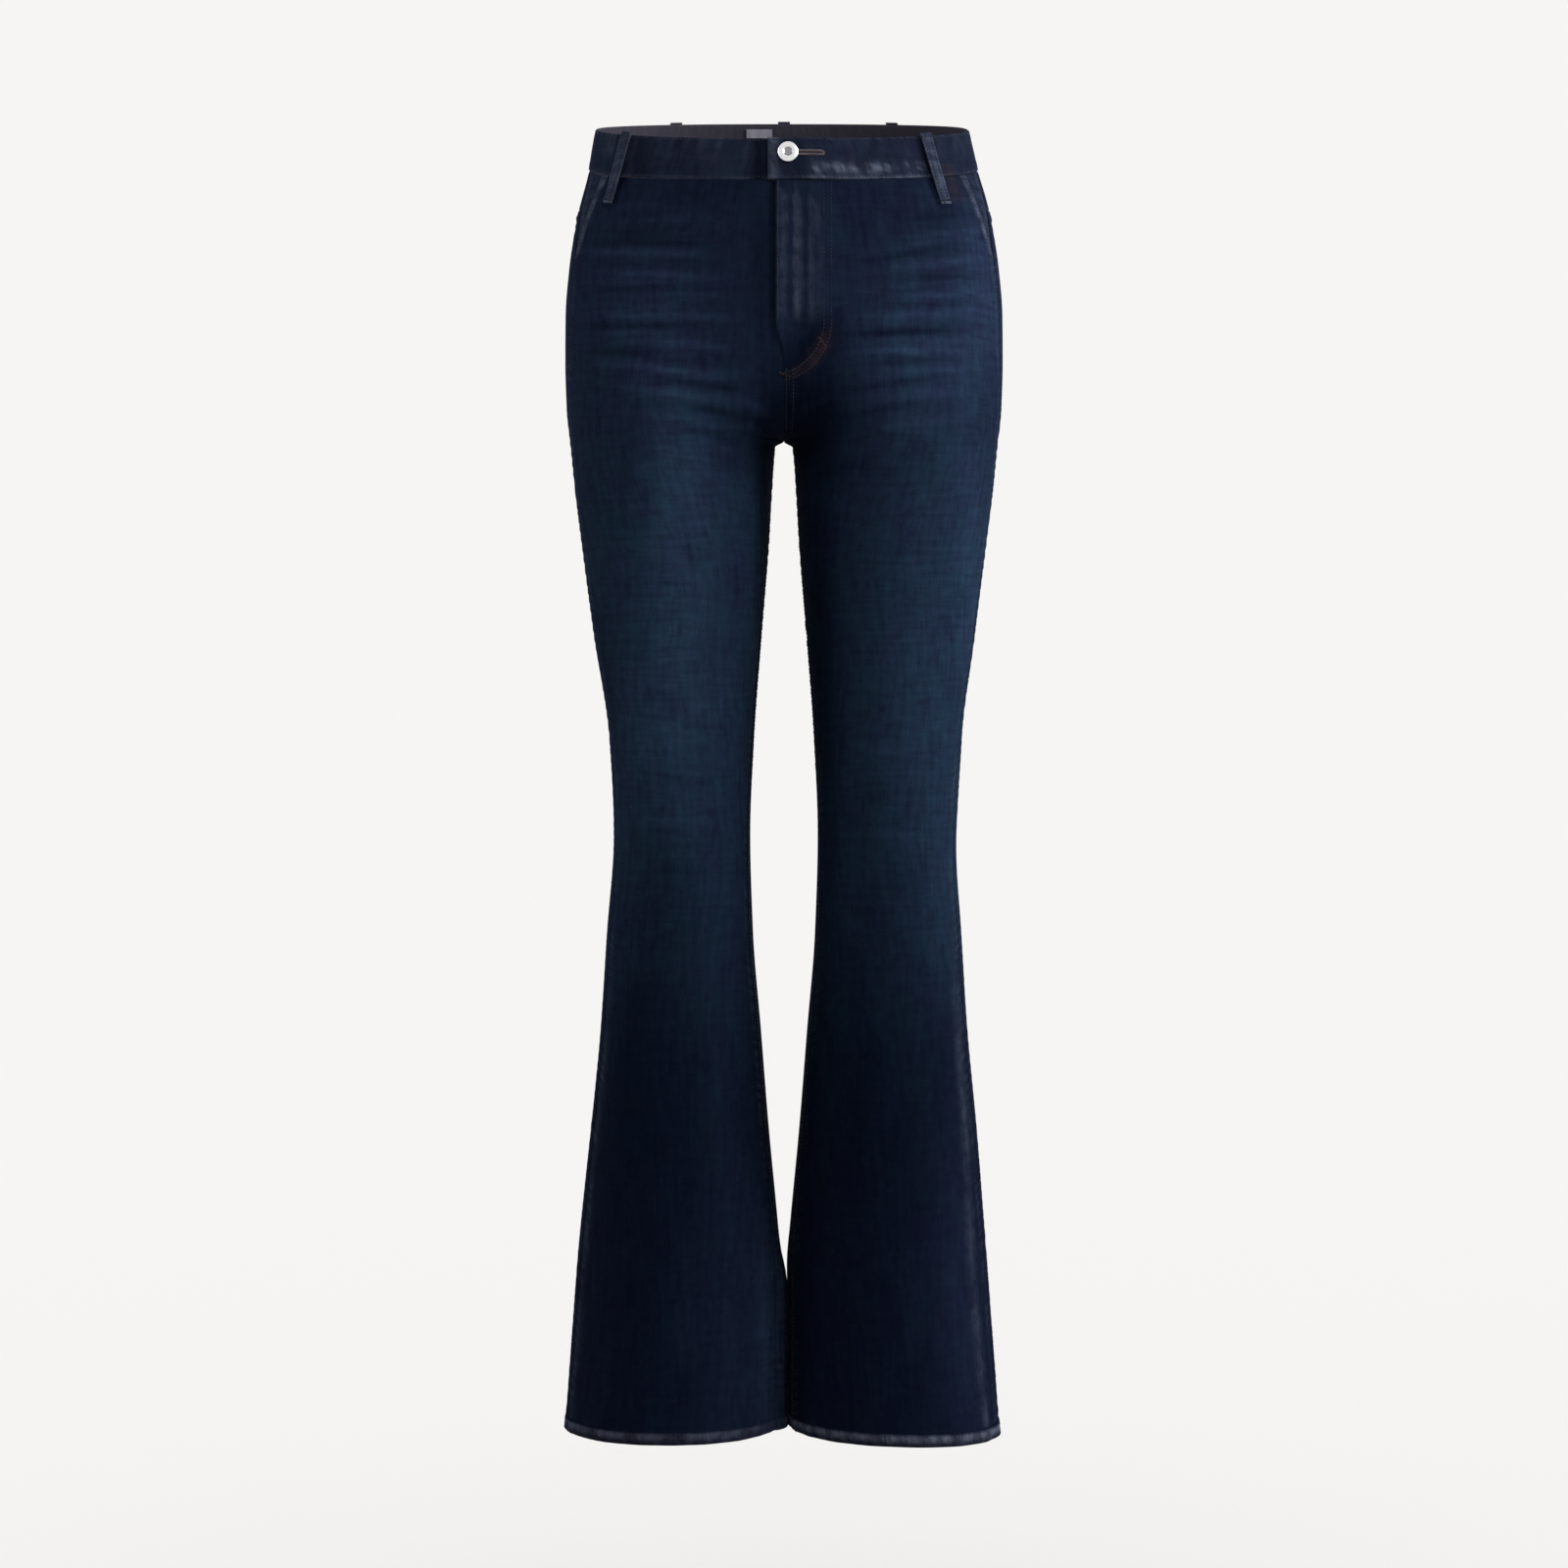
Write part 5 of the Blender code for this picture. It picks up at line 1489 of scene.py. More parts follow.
def yokeRelief(girth, height, leg):
    # its four edges, with the stitches of the middle seam on the left yoke, and their wear
    toMiddle = girth + girthLength(height, "back")
    toSide = tableValue(seams, "sideSeam", height) - girth
    toTop = bandSeam(girth) - height
    toBottom = height - yokeSeam(girth)
    shape = edgeRelief("yokeBottom", toBottom) + edgeRelief("underBand", toTop)
    shape = shape + edgeRelief("yokeMiddle", toMiddle, leg > 0) + edgeRelief("yokeSide", toSide)
    shape = shape + grooves(toMiddle, relief["riseStitches"]) * (leg > 0)
    shape = shape + puckerRow("yokeTop", girth, toTop) + puckerRow("yokeBottom", girth, toBottom)
    return shape, rub("yokeSide", toSide) + rubbedLine("yokeBottom", toBottom)


def makeFacing(leg):
    # the wall behind one pocket mouth, sunk below the front and mottled
    name = "pocket_facing_" + sideName(leg)

    def ends(height):
        seam = tableValue(seams, "sideSeam", height) - mouth["underSeam"]
        return pocketMouth(height) + mouth["underFront"], seam

    shares = np.linspace(0, 1, 30)
    top = bandSeam(between(ends, shares, np.full_like(shares, mouth["top"]))) - seams["bandGap"]
    lowest = mouth["bottom"] - mouth["below"]
    height = top + (lowest - top) * np.linspace(0, 1, 44)[:, None]
    girth = between(ends, shares, height)
    toSeam = girth - ends(height)[1]
    shape = 0.00025 * pucker(height, 0.013, 35) - mouth["drop"]
    shape = shape + mouth["drop"] * 0.55 * raised(toSeam, 0.004, 0.008)
    outer = clothFace(girth, height, leg, shape)
    inner = clothFace(girth, height, leg, shape - panel["cloth"])
    mottled = mottle(height, 0.005, 37)
    values = {"fade": baseFade(height) + 0.1 * mottled, "wear": 0.12 * mottled + rub("facingSeam", toSeam)}
    piece = clothShell(name + "_cloth", outer, inner, girth, height, values, "denim", (name,))
    "waistband_" + sideName(leg)


for leg in (1, -1):
    makeYoke(leg)
    makeFacing(leg)
print("yokes and pocket facings shaped")


def bandLift(girth, height, leg):
    # the left half climbs over the right one towards its lapped end
    fromMiddle = girthLength(height, "front") - girth
    ramp = (waist["rampStart"] - fromMiddle) / (waist["rampStart"] - waist["rampEnd"])
    return waist["lapLift"] * softStep(ramp) * (leg > 0)


def bandRelief(girth, height, leg):
    # rolled edges with stitches and puckers within them, soft waves along the middle, and the wear
    edge = waistEdge(girth)
    toTop = edge - height
    toBottom = height - edge + waist["bandHeight"]
    lap = waist["leftLap"] if leg > 0 else waist["rightLap"]
    toEnd = girthLength(height, "front") + lap - girth
    toSeam = girth + girthLength(height, "back")
    rim = np.minimum(np.minimum(toTop, toBottom), toEnd)
    shape = edgeRelief("bandTop", toTop) + edgeRelief("bandBottom", toBottom) + edgeRelief("bandEnd", toEnd)
    shape = shape + edgeRelief("bandMiddle", toSeam) + grooves(rim, (waist["stitchInset"],))
    shape = shape + 0.00022 * softStep((rim - 0.003) / 0.003)
    along = girth + 0.8 * toTop
    shape = shape + puckerRow("bandTop", along, toTop) + puckerRow("bandBottom", along, toBottom)
    shape = shape + 0.0003 * pucker(girth, 0.038, 43) * bell(toTop - 0.017, 0.01)
    return shape, bandWear(girth, height, leg, toTop, toBottom, toEnd)


def bandWear(girth, height, leg, toTop, toBottom, toEnd):
    # rubbed edges all round; from the lap to the left hip flecks and a pale line along the lower edge
    across = viewPlace(girth, height, leg)[0]
    rubbed = softStep((across - 0.014) / 0.01) * softStep((0.122 - across) / 0.008) * (leg > 0) * (girth > 0)
    mottled = 0.5 + 0.5 * unevenness(girth, 0.0034, 45) * unevenness(girth + 0.7 * height, 0.011, 46)
    flecks = 0.7 * unevenness(girth, 0.0044, 48) + 0.5 * unevenness(girth + 0.3 * height, 0.011, 49)
    flecks = np.maximum(0.0, flecks + 0.35 * unevenness(height * 3 - girth, 0.006, 51))
    patches = np.maximum(0.0, unevenness(girth, 0.0058, 56)) * (girth > 0) * raised(toTop, 0.012, 0.014)
    wave, seed = puckerRows["bandTop"][1:3]
    wear = rubbedLine("bandTop", toTop) * (0.5 + 0.5 * pucker(girth + 0.8 * toTop, wave, seed))
    wear = wear + rubbedLine("bandBottom", toBottom) + (0.08 if leg > 0 else 0.16) * patches
    wear = wear + rubbed * (0.95 * flecks + 0.14 * mottled) * rubbedLine("bandFlecks", toBottom)
    wear = wear + rubbed * (0.32 + 0.46 * mottled) * rubbedLine("bandPale", toBottom)
    wear = wear + (1 - rubbed) * rubbedLine("bandSeam", toBottom) * mottle(girth, 0.012, 50)
    return wear + rubbedLine("lapEnd", toEnd) * (leg > 0) + rubbedLine("bandEnd", toEnd)


def makeBand(leg):
    # one half of the waistband: even columns from the middle of the back to its lapped end, and rows that
    # stand close together along both edges
    name, gap = "waistband_" + sideName(leg), 0.5 * seams["gap"]
    lap = waist["leftLap"] if leg > 0 else waist["rightLap"]

    def bandEnds(height):
        return gap - girthLength(height, "back"), girthLength(height, "front") + lap

    shares = edgedShares((0, 0.0004, 0.0009, 0.0015, 0.0023, 0.0033), 0.42, 0.01, 0.99, waist["columns"])
    near = np.array((0, 0.0003, 0.0007, 0.0012, 0.0018, 0.0025, 0.0033, 0.0045))
    full = waist["bandHeight"]
    down = np.concatenate((near, np.linspace(0.006, full - 0.006, waist["rows"] - 12), full - near[::-1]))
    guide = between(bandEnds, shares, np.full_like(shares, waist["level"]))
    height = waistEdge(guide) - down[:, None]
    girth = between(bandEnds, shares, height)
    lift = bandLift(girth, height, leg) + waist["proud"]
    shape, wear = bandRelief(girth, height, leg)
    rounded = -0.9 * np.minimum(shape, 0.0) * (np.minimum(down, full - down)[:, None] < 0.0014)
    outer = clothFace(girth, height, leg, lift + shape)
    inner = clothFace(girth, height, leg, lift - waist["thickness"] + 0.5 * rounded)
    uneven = 0.09 * unevenness(girth, 0.022, 47) + 0.07 * unevenness(girth + 0.4 * height, 0.006, 55)
    across = viewPlace(girth, height, leg)[0]
    # painted shadow of the lapped end on the right half: the fade and the wear are cleared there
    lapPaintedShadow = (leg < 0) * (girth > 0) * bell(across - waist["lapShadeAt"], 0.006)
    values = {
        "fade": (waist["fade"] + uneven) * (1 - lapPaintedShadow) + loopPaintedShadow(girth, height, leg),
        "wear": wear * (1 - lapPaintedShadow),
        "rust": mouthStain(girth, height) * (leg > 0),
    }
    grain = girth + grainShift["band"] * leg
    piece = clothShell(name + "_cloth", outer, inner, grain, height, values, "denim_trim", (name,))


for leg in (1, -1):
    makeBand(leg)
print("waistband shaped")


def loopFace(middle, leg, across, down, extra):
    # a strip over the band: height falls evenly along it, and it arches off the cloth as a sine
    guide = across + (middle or -girthLength(np.full_like(across, waist["level"]), "back"))
    edge = waistEdge(guide)
    length = loops["above"] + waist["bandHeight"] + loops["below"]
    height = edge + loops["above"] - length * down
    girth = across + (middle or -girthLength(height, "back")) + 0 * height
    below = (edge - waist["bandHeight"] - height) / (loops["below"] * loops["dropShare"])
    arch = loops["arch"] * np.sin(math.pi * np.clip(down / loops["archShare"], 0, 1))
    offset = loops["gap"] + waist["proud"] * (1 - softStep(below)) + arch + extra
    return clothFace(girth, height, leg, offset), girth, height


def loopFaceAt(middle, leg, across, down, extra):
    # a loop's outer face, moved out by the extra
    return loopFace(middle, leg, across, down, loops["thickness"] + extra)[0]


def makeLoop(name, middle, leg):
    # a loop's wall, columns closest along its sides; swollen between its rolled edges and its stitches
    side = np.linspace(-1, 1, loops["columns"])
    across = 0.5 * loops["width"] * np.sign(side) * np.abs(side) ** 0.8
    down = np.linspace(0, 1, loops["rows"])[:, None]
    toEdge = 0.5 * loops["width"] - np.abs(across) + 0 * down
    toEnd = np.minimum(down, 1 - down) * (loops["above"] + waist["bandHeight"] + loops["below"]) + 0 * across
    swell = edgeRelief("loopSide", toEdge) + grooves(toEdge, (loops["stitchInset"],))
    swell = swell + edgeRelief("loopEnd", toEnd) + 0.00025 * bell(across, 0.0016)
    swell = swell + 0.00016 * pucker(down * 0.055 + 0.3 * across, 0.006, 51)
    outer, girth, height = loopFace(middle, leg, across, down, loops["thickness"] + swell)
    inner = loopFace(middle, leg, across, down, 0 * swell)[0]
    wear = rubbedLine("loopSide", toEdge) + rubbedLine("loopMiddle", across)
    wear = wear + rubbedLine("loopEnd", toEnd) * (down > 0.5) + loops["wear"]
    mottled = mottle(down * 0.055 + 0.4 * across, 0.005, 52)
    shaded = loops["topShade"] * (leg < 0) * softStep((0.34 - down) / 0.2)
    values = {
        "fade": loops["fade"] - shaded + 0 * toEdge,
        "wear": wear + (loops["leftMottle"] if leg > 0 else loops["rightMottle"]) * mottled,
    }
    piece = clothShell(name + "_cloth", outer, inner, girth, height, values, "denim_trim", (name,))


loopPlaces = (
    ("belt_loop_front_left", loops["leftGirth"], 1),
    ("belt_loop_front_right", loops["rightGirth"], -1),
    ("belt_loop_back_left", loops["backGirth"], 1),
    ("belt_loop_back_right", loops["backGirth"], -1),
    ("belt_loop_back_middle", None, 1),
)
for name, middle, leg in loopPlaces:
    makeLoop(name, middle, leg)
print("belt loops shaped")

patch = {
    "sideRows": (-0.095, -0.114, -0.136, -0.158, -0.18, -0.202, -0.222, -0.24, -0.256),
    "baseRow": 6.0,
    "pointRows": 2.0,
    "cornerShare": 0.12,
    "topShares": (4.1 / 18, 12.9 / 18),
    "baseShares": (4.75 / 18, 12.25 / 18),
    "gap": 0.0008,
    "thickness": 0.0014,
    "width": 0.108,
    "length": 0.14,
    "footShare": 0.93,
    "edgeStitches": (0.0018, 0.0078),
    "topStitches": (0.002, 0.015),
    "rows": 84,
    "columns": 72,
}


def patchPlace(across, down):
    # girth and height of a place on the back pocket: a five-sided outline in the back's rows and shares
    point = 1 - np.abs(2 * across - 1) * (1 - patch["cornerShare"])
    row = down * (patch["baseRow"] + patch["pointRows"] * point)
    toBase = np.minimum(row / patch["baseRow"], 1.0)
    first = patch["topShares"][0] + (patch["baseShares"][0] - patch["topShares"][0]) * toBase
    last = patch["topShares"][1] + (patch["baseShares"][1] - patch["topShares"][1]) * toBase
    share = first + (last - first) * across
    side = np.interp(row, np.arange(len(patch["sideRows"])), patch["sideRows"])
    inner = np.interp(-side, -np.array(panel["sideRows"]), panel["innerRows"])
    height = inner + (side - inner) * share
    inside = backInner(height, 0)
    return inside + (backOuter(height) - inside) * share, height


def patchRelief(across, down):
    # rolled and ridged edges, stitched round the sides and foot and across the top hem, and their wear
    toSide = np.minimum(across, 1 - across) * patch["width"] + 0 * down
    toTop = down * patch["length"] + 0 * across
    rim = np.minimum(toSide, (1 - down) * patch["length"] * patch["footShare"] + 0 * across)
    along = toTop + 0.6 * toSide + across * 0.1
    shape = edgeRelief("patchRim", rim) + grooves(rim, patch["edgeStitches"])
    shape = shape + edgeRelief("patchTop", toTop) + grooves(toTop, patch["topStitches"])
    wear = rub("patchRim", rim) + rub("patchTop", toTop) + rub("patchAllowance", rim)
    return shape + puckerRow("patchRim", along, rim), wear + puckerRow("patchWear", along, rim)


def patchFaceAt(across, down, leg, extra):
    # a back pocket's outer face, moved out by the extra
    girth, height = patchPlace(across, down)
    crease = creaseRelief(backCreases, girth, height, leg)[0]
    shape = patchRelief(across, down)[0]
    return clothFace(girth, height, leg, patch["gap"] + patch["thickness"] + shape + crease + extra)


def makePatch(leg):
    # one back pocket as a wall on the back, its rows and columns drawn towards its edges by a sine
    name = "back_pocket_" + sideName(leg)
    across = np.linspace(0, 1, patch["columns"])
    across = across - 0.012 * np.sin(2 * math.pi * across)
    down = np.linspace(0, 1, patch["rows"])[:, None]
    down = down - 0.01 * np.sin(2 * math.pi * down)
    girth, height = patchPlace(across, down)
    crease = creaseRelief(backCreases, girth, height, leg)[0]
    outer = patchFaceAt(across, down, leg, 0.0)
    inner = clothFace(girth, height, leg, patch["gap"] * 0.2 + crease)
    values = {"fade": backFadeAndPaintedLight(girth, height, leg) + 0.04, "wear": patchRelief(across, down)[1]}
    grain = girth - grainMiddle(height, "back") + grainShift["patch"] * leg
    piece = clothShell(name + "_cloth", outer, inner, grain, height, values, "denim", (name,))
    "back_" + sideName(leg) + "_cloth"


for leg in (1, -1):
    makePatch(leg)
print("back pockets shaped")

label = {
    "centre": -0.0215,
    "width": 0.0225,
    "height": 0.018,
    "below": 0.0045,
    "thickness": 0.0008,
    "gap": 0.0005,
}


def makeLabel():
    # a bare strip of weave inside the back of the band, sagging a little along it
    across = np.linspace(-0.5, 0.5, 28) * label["width"]
    level = np.full_like(across, waist["level"])
    guide = -girthLength(level, "back") - label["centre"] + across
    down = np.linspace(0, 1, 22)[:, None]
    height = waistEdge(guide) - label["below"] - label["height"] * down
    girth = -girthLength(height, "back") - label["centre"] + across
    behind = waist["proud"] - waist["thickness"] - label["gap"] - label["thickness"]
    sag = 0.00016 * pucker(across, 0.011, 61) + 0 * down
    faceIn = clothFace(girth, height, -1.0, behind + sag)
    faceOut = clothFace(girth, height, -1.0, behind + label["thickness"] + sag)
    values = {"fade": 0 * height, "wear": 0 * height}
    piece = clothShell("label_woven", faceOut, faceIn, girth, height, values, "label_cloth", ("label",))


makeLabel()
print("label shaped")

button = {
    "x": 0.0033,
    "below": 0.0128,
    "segments": 72,
    "dishRadius": 0.0036,
    "dishRise": 0.0015,
    # radius and rise of the turned profile, from the recessed middle over the rim to the shank
    "profile": (
        (0.0, 0.00205), (0.0009, 0.002), (0.0019, 0.0019), (0.0027, 0.00195), (0.0031, 0.00225),
        (0.0035, 0.00275), (0.0041, 0.00318), (0.0049, 0.00338), (0.0058, 0.00338), (0.0066, 0.00318),
        (0.0072, 0.00285), (0.0075, 0.0027), (0.0078, 0.00262), (0.0082, 0.00235), (0.0085, 0.00185),
        (0.00855, 0.00145), (0.0083, 0.00105), (0.0078, 0.00085), (0.0055, 0.0007), (0.004, 0.00045),
        (0.0034, 0.00025), (0.0034, 0.0),
    ),
}


def makeButton():
    # turned round its axis: x = r cos a, y = r sin a, z = rise, then set on the lapped end of the band
    near = np.array([girthLength(waist["level"], "front") - button["x"]])
    height = waistEdge(near) - button["below"]
    girth = girthLength(height, "front") - button["x"]
    lift = waist["proud"] + waist["lapLift"] + 0.0003
    seat = clothFace(girth, height, 1.0, np.array([lift]))[0]
    axis = surfaceNormal(girth, height, formPoint)[0]
    sideways = np.cross((0.0, 0.0, 1.0), axis)
    sideways = sideways / np.linalg.norm(sideways)
    upward = np.cross(axis, sideways)
    profile, count = np.array(button["profile"]), button["segments"]
    angle = np.linspace(0, 2 * math.pi, count, endpoint=False)
    radius, rise = profile[1:, :1], profile[1:, 1:]
    ring = (radius * np.cos(angle))[..., None] * sideways + (radius * np.sin(angle))[..., None] * upward
    ring = ring + rise[..., None] * axis + seat
    index = np.arange(len(radius) * count).reshape(-1, count)
    after = np.roll(index, -1, axis=1)
    faces = np.stack((index[:-1], index[1:], after[1:], after[:-1]), axis=-1).reshape(-1, 4)
    top = np.full(count, index.size)
    caps = np.concatenate((np.stack((index[0], after[0], top), axis=-1),
                           np.stack((after[-1], index[-1], top + 1), axis=-1)))
    vertices = np.concatenate((ring.reshape(-1, 3), [seat + axis * profile[0, 1]], [seat]))
    mesh = bpy.data.meshes.new("button_turned")
    mesh.from_pydata(vertices.tolist(), [], faces.tolist() + caps.tolist())
    mesh.validate()
    # the dish is marked for the painted shade of its finish
    inDish = (radius < button["dishRadius"]) & (rise > button["dishRise"])
    paintedDishShade = np.concatenate((np.repeat(inDish, count), (True, False)))
    layer = mesh.attributes.new("paintedDishShade", "FLOAT", "POINT")
    layer.data.foreach_set("value", paintedDishShade.astype(np.float32))
    placePiece("button_turned", mesh, finishes["button_metal"], ("button",), 60.0)


makeButton()
print("button turned")

thread = {
    "radius": 0.0003,
    "tackRadius": 0.00028,
    "pitch": 0.0034,
    "gap": 0.0008,
    "sides": 6,
    "sink": 0.00022,
    "rise": 0.00012,
    "probe": 0.001,
    # the tube's stations along a stitch and its thickness there
    "stations": (0.0, 0.14, 0.5, 0.86, 1.0),
    "taper": (0.55, 0.95, 1.0, 0.95, 0.55),
    "tackLength": 0.0085,
    "tackWidth": 0.0018,
}
sewn = {}


def keepStitches(group, start, end, normal, radius):
    # stitches of a group, each from a start to an end, which one piece gathers later
    sewn.setdefault(group, []).append((start, end, normal, np.full(len(start), radius)))


def surfaceLine(face, *place, rise=thread["rise"]):
    # points a little above a surface, and its normals there: the way to points further out
    points = face(*place, rise)
    return points, (face(*place, rise + thread["probe"]) - points) / thread["probe"]


def addStitches(group, line, pitch=None, radius=None):
    # stitches of one pitch, evenly spread along a sewn line of points and normals
    points, normals = line
    pitch = pitch or thread["pitch"]
    along = np.concatenate(([0.0], np.cumsum(np.linalg.norm(np.diff(points, axis=0), axis=1))))
    count = max(1, int(along[-1] / pitch))
    starts = (np.arange(count) + 0.5) * along[-1] / count - 0.5 * (pitch - thread["gap"])
    ends = starts + pitch - thread["gap"]

    def at(where, rows):
        return np.stack([np.interp(where, along, rows[:, k]) for k in range(3)], axis=-1)

    middles = at(0.5 * (starts + ends), normals)
    keepStitches(group, at(starts, points), at(ends, points), middles, radius or thread["radius"])


def addTack(group, points, normals, radius=thread["tackRadius"]):
    # a bar tack: one stitch from each point of a zigzag to the next
    keepStitches(group, points[:-1], points[1:], normals[:-1], radius)


def zigzag(count):
    # even steps along a tack, and the side that each one is on
    return np.linspace(-0.5, 0.5, count), np.resize((0.5, -0.5), count)


def sewOn(group, face, girth, height, leg, pitch=None, radius=None):
    # a sewn line on a surface function, which gives points at an extra offset
    addStitches(group, surfaceLine(face, girth, height, leg), pitch, radius)


def makeThreads(group, finish):
    # each stitch is a little tube from start to end, whose ends dip into the cloth:
    # rise(t) = radius / 4 - (sink + radius) |2t - 1|^4
    start, end, normal, size = (np.concatenate(part) for part in zip(*sewn[group]))
    t, taper = np.array(thread["stations"]), np.array(thread["taper"])

    def unit(vectors):
        return vectors / np.linalg.norm(vectors, axis=-1, keepdims=True)

    way = unit(end - start)
    across = unit(np.cross(way, unit(normal)))
    upward = np.cross(across, way)
    lift = 0.25 * size[:, None] - (thread["sink"] + size[:, None]) * np.abs(2 * t - 1) ** 4
    centre = start[:, None] + (end - start)[:, None] * t[None, :, None] + upward[:, None] * lift[..., None]
    angle = np.linspace(0, 2 * math.pi, thread["sides"], endpoint=False)[:, None]
    spoke = across[:, None, None] * np.cos(angle) + upward[:, None, None] * np.sin(angle)
    tube = centre[:, :, None] + spoke * (size[:, None, None, None] * taper[:, None, None])
    count, stations, sides = tube.shape[:3]
    index = np.arange(stations * sides).reshape(stations, sides)
    after = np.roll(index, -1, axis=1)
    walls = np.stack((index[:-1], after[:-1], after[1:], index[1:]), axis=-1).reshape(-1, 4)
    caps = np.array([[0, 5, 4, 3], [0, 3, 2, 1]])
    one = np.concatenate((walls, caps, caps[:, ::-1] + (stations - 1) * sides))
    faces = (one[None] + (np.arange(count) * stations * sides)[:, None, None]).reshape(-1, 4)
    mesh = makeMesh(group + "_threads", tube.reshape(-1, 3), faces[:, ::-1])
    placePiece(group + "_threads", mesh, finishes[finish], (), 80.0)
    print(group + "_threads", count, "stitches")


def ramp(first, last, step=0.0016):
    # even steps from first to last
    return np.linspace(first, last, max(2, int(abs(last - first) / step)))


def sewLegs(leg):
    # inseams, side seams at the hip, the hems, the pocket mouths and the yokes
    low = hem["height"] + hem["turnUp"]
    down = ramp(form["crotch"] - 0.006, low + 0.002)
    for inset in relief["inseamStitches"]:
        sewOn("seam", backFaceAt, backInner(down, leg) + inset, down, leg)
    down = ramp(mouth["bottom"] - 0.002, relief["sideStitchEnd"])
    sewOn("seam", frontFaceAt, frontOuter(down) + relief["sideStitch"], down, leg)
    low = np.array([low])
    hems = (
        (frontFaceAt, frontOuter(low)[0] + 0.001, frontInner(low, leg)[0] - 0.001),
        (backFaceAt, backOuter(low)[0] - 0.001, backInner(low, leg)[0] + 0.001),
    )
    for face, first, last in hems:
        edge = ramp(first, last)
        level = np.full_like(edge, hem["height"] + relief["hemStitch"])
        sewOn("hem", face, edge, level - hemLine(edge, level, leg), leg)
    for inset in relief["mouthStitches"]:
        down = ramp(-0.0505, mouth["bottom"] + 0.002)
        sewOn("pocket", frontFaceAt, pocketMouth(down) + inset, down, leg, 0.0031)
    level = np.array([waist["yokeLevel"]])
    edge = ramp(0.002 - girthLength(level, "back")[0], tableValue(seams, "sideSeam", level)[0] - 0.002)
    for inset in relief["yokeStitches"]:
        sewOn("seam", backFaceAt, edge, yokeSeam(edge) - seams["bandGap"] - inset, leg)


def sewMiddle():
    # both rows of the back's middle seam and of the front's under the fly, and the row along the fly's edge
    for inset in relief["riseStitches"]:
        down = ramp(-0.118, form["crotch"] + 0.004)
        sewOn("seam", backFaceAt, backInner(down, 1) + inset, down, 1)
        down = ramp(fly["end"] - 0.006, form["crotch"] + 0.006)
        sewOn("seam", frontFaceAt, frontInner(down, 1) - inset, down, 1)
    down = ramp(-0.06, fly["straightEnd"])
    sewOn("seam", frontFaceAt, frontInner(down, 1) - 0.0016, down, 1)


def sewFly():
    # two J rows inside the fly's edge: down at the reach, then a quarter of an ellipse to the middle
    straight = ramp(-0.058, fly["curveTop"])
    angle = np.linspace(0, 0.47 * math.pi, 40)
    for inset in (0.0, fly["rowApart"]):
        depth = fly["curveTop"] - fly["curveBottom"] - inset
        reach = fly["reach"] - inset
        bend = reach * np.cos(angle) - fly["drift"] * np.sin(angle)
        fromMiddle = np.concatenate((np.full_like(straight, reach), bend))
        height = np.concatenate((straight, fly["curveTop"] - depth * np.sin(angle)))
        curved = np.arange(len(height)) >= len(straight) - 4
        girth = girthLength(height, "front") - fromMiddle
        sewOn("fly", frontFaceAt, girth[~curved], height[~curved], 1, 0.003)
        sewOn("fly_curve", frontFaceAt, girth[curved], height[curved], 1, 0.003, 0.00042)


def bandFaceAt(girth, height, leg, extra):
    # the band's outer face, moved out by the extra
    lift = bandLift(girth, height, leg) + waist["proud"] + bandRelief(girth, height, leg)[0]
    return clothFace(girth, height, leg, lift + extra)


def sewBand():
    # a row along the upper and the lower edge of each half, and one down the lapped end
    inset = waist["stitchInset"]
    for leg in (1, -1):
        start = 0.002 - girthLength(waist["level"], "back")
        lap = waist["leftLap"] if leg > 0 else 0.004
        edge = ramp(start, girthLength(waist["level"], "front") + lap - inset)
        sewOn("band", bandFaceAt, edge, waistEdge(edge) - inset, leg)
        sewOn("band", bandFaceAt, edge, bandSeam(edge) + inset, leg)
    down = ramp(waistEdge(edge[-1:])[0] - 0.003, bandSeam(edge[-1:])[0] + 0.003)
    sewOn("band", bandFaceAt, girthLength(down, "front") + waist["leftLap"] - inset, down, 1)


def sewLoops():
    # a row down both sides of each loop, and a bar tack near each end
    down = np.linspace(0.03, 0.97, 60)
    for _, middle, leg in loopPlaces:
        for side in (-1, 1):
            across = np.full_like(down, side * (0.5 * loops["width"] - loops["stitchInset"]))
            line = surfaceLine(loopFaceAt, middle, leg, across, down, rise=thread["rise"] - 0.00016)
            addStitches("band", line, 0.0028)
        for place in (0.955, 0.055):
            tackLoop(middle, leg, place)


def tackLoop(middle, leg, place):
    # a bar of close stitches across the loop
    across = np.linspace(-0.46, 0.46, 15) * loops["width"]
    for shift in (-0.014, 0.014):
        down = place + shift * np.resize((1, -1), len(across))
        addTack("tack", *surfaceLine(loopFaceAt, middle, leg, across, down, rise=0.0002), 0.00026)


def tackOn(group, face, girth, height, length, width, lean, leg=1, count=14):
    # a bar tack of the given length and width at a lean, centred on a place
    t, side = zigzag(count)
    c, s = math.cos(math.radians(lean)), math.sin(math.radians(lean))
    atGirth = girth + t * length * c - side * width * s
    atHeight = height + t * length * s + side * width * c
    addTack(group, *surfaceLine(face, atGirth, atHeight, leg))


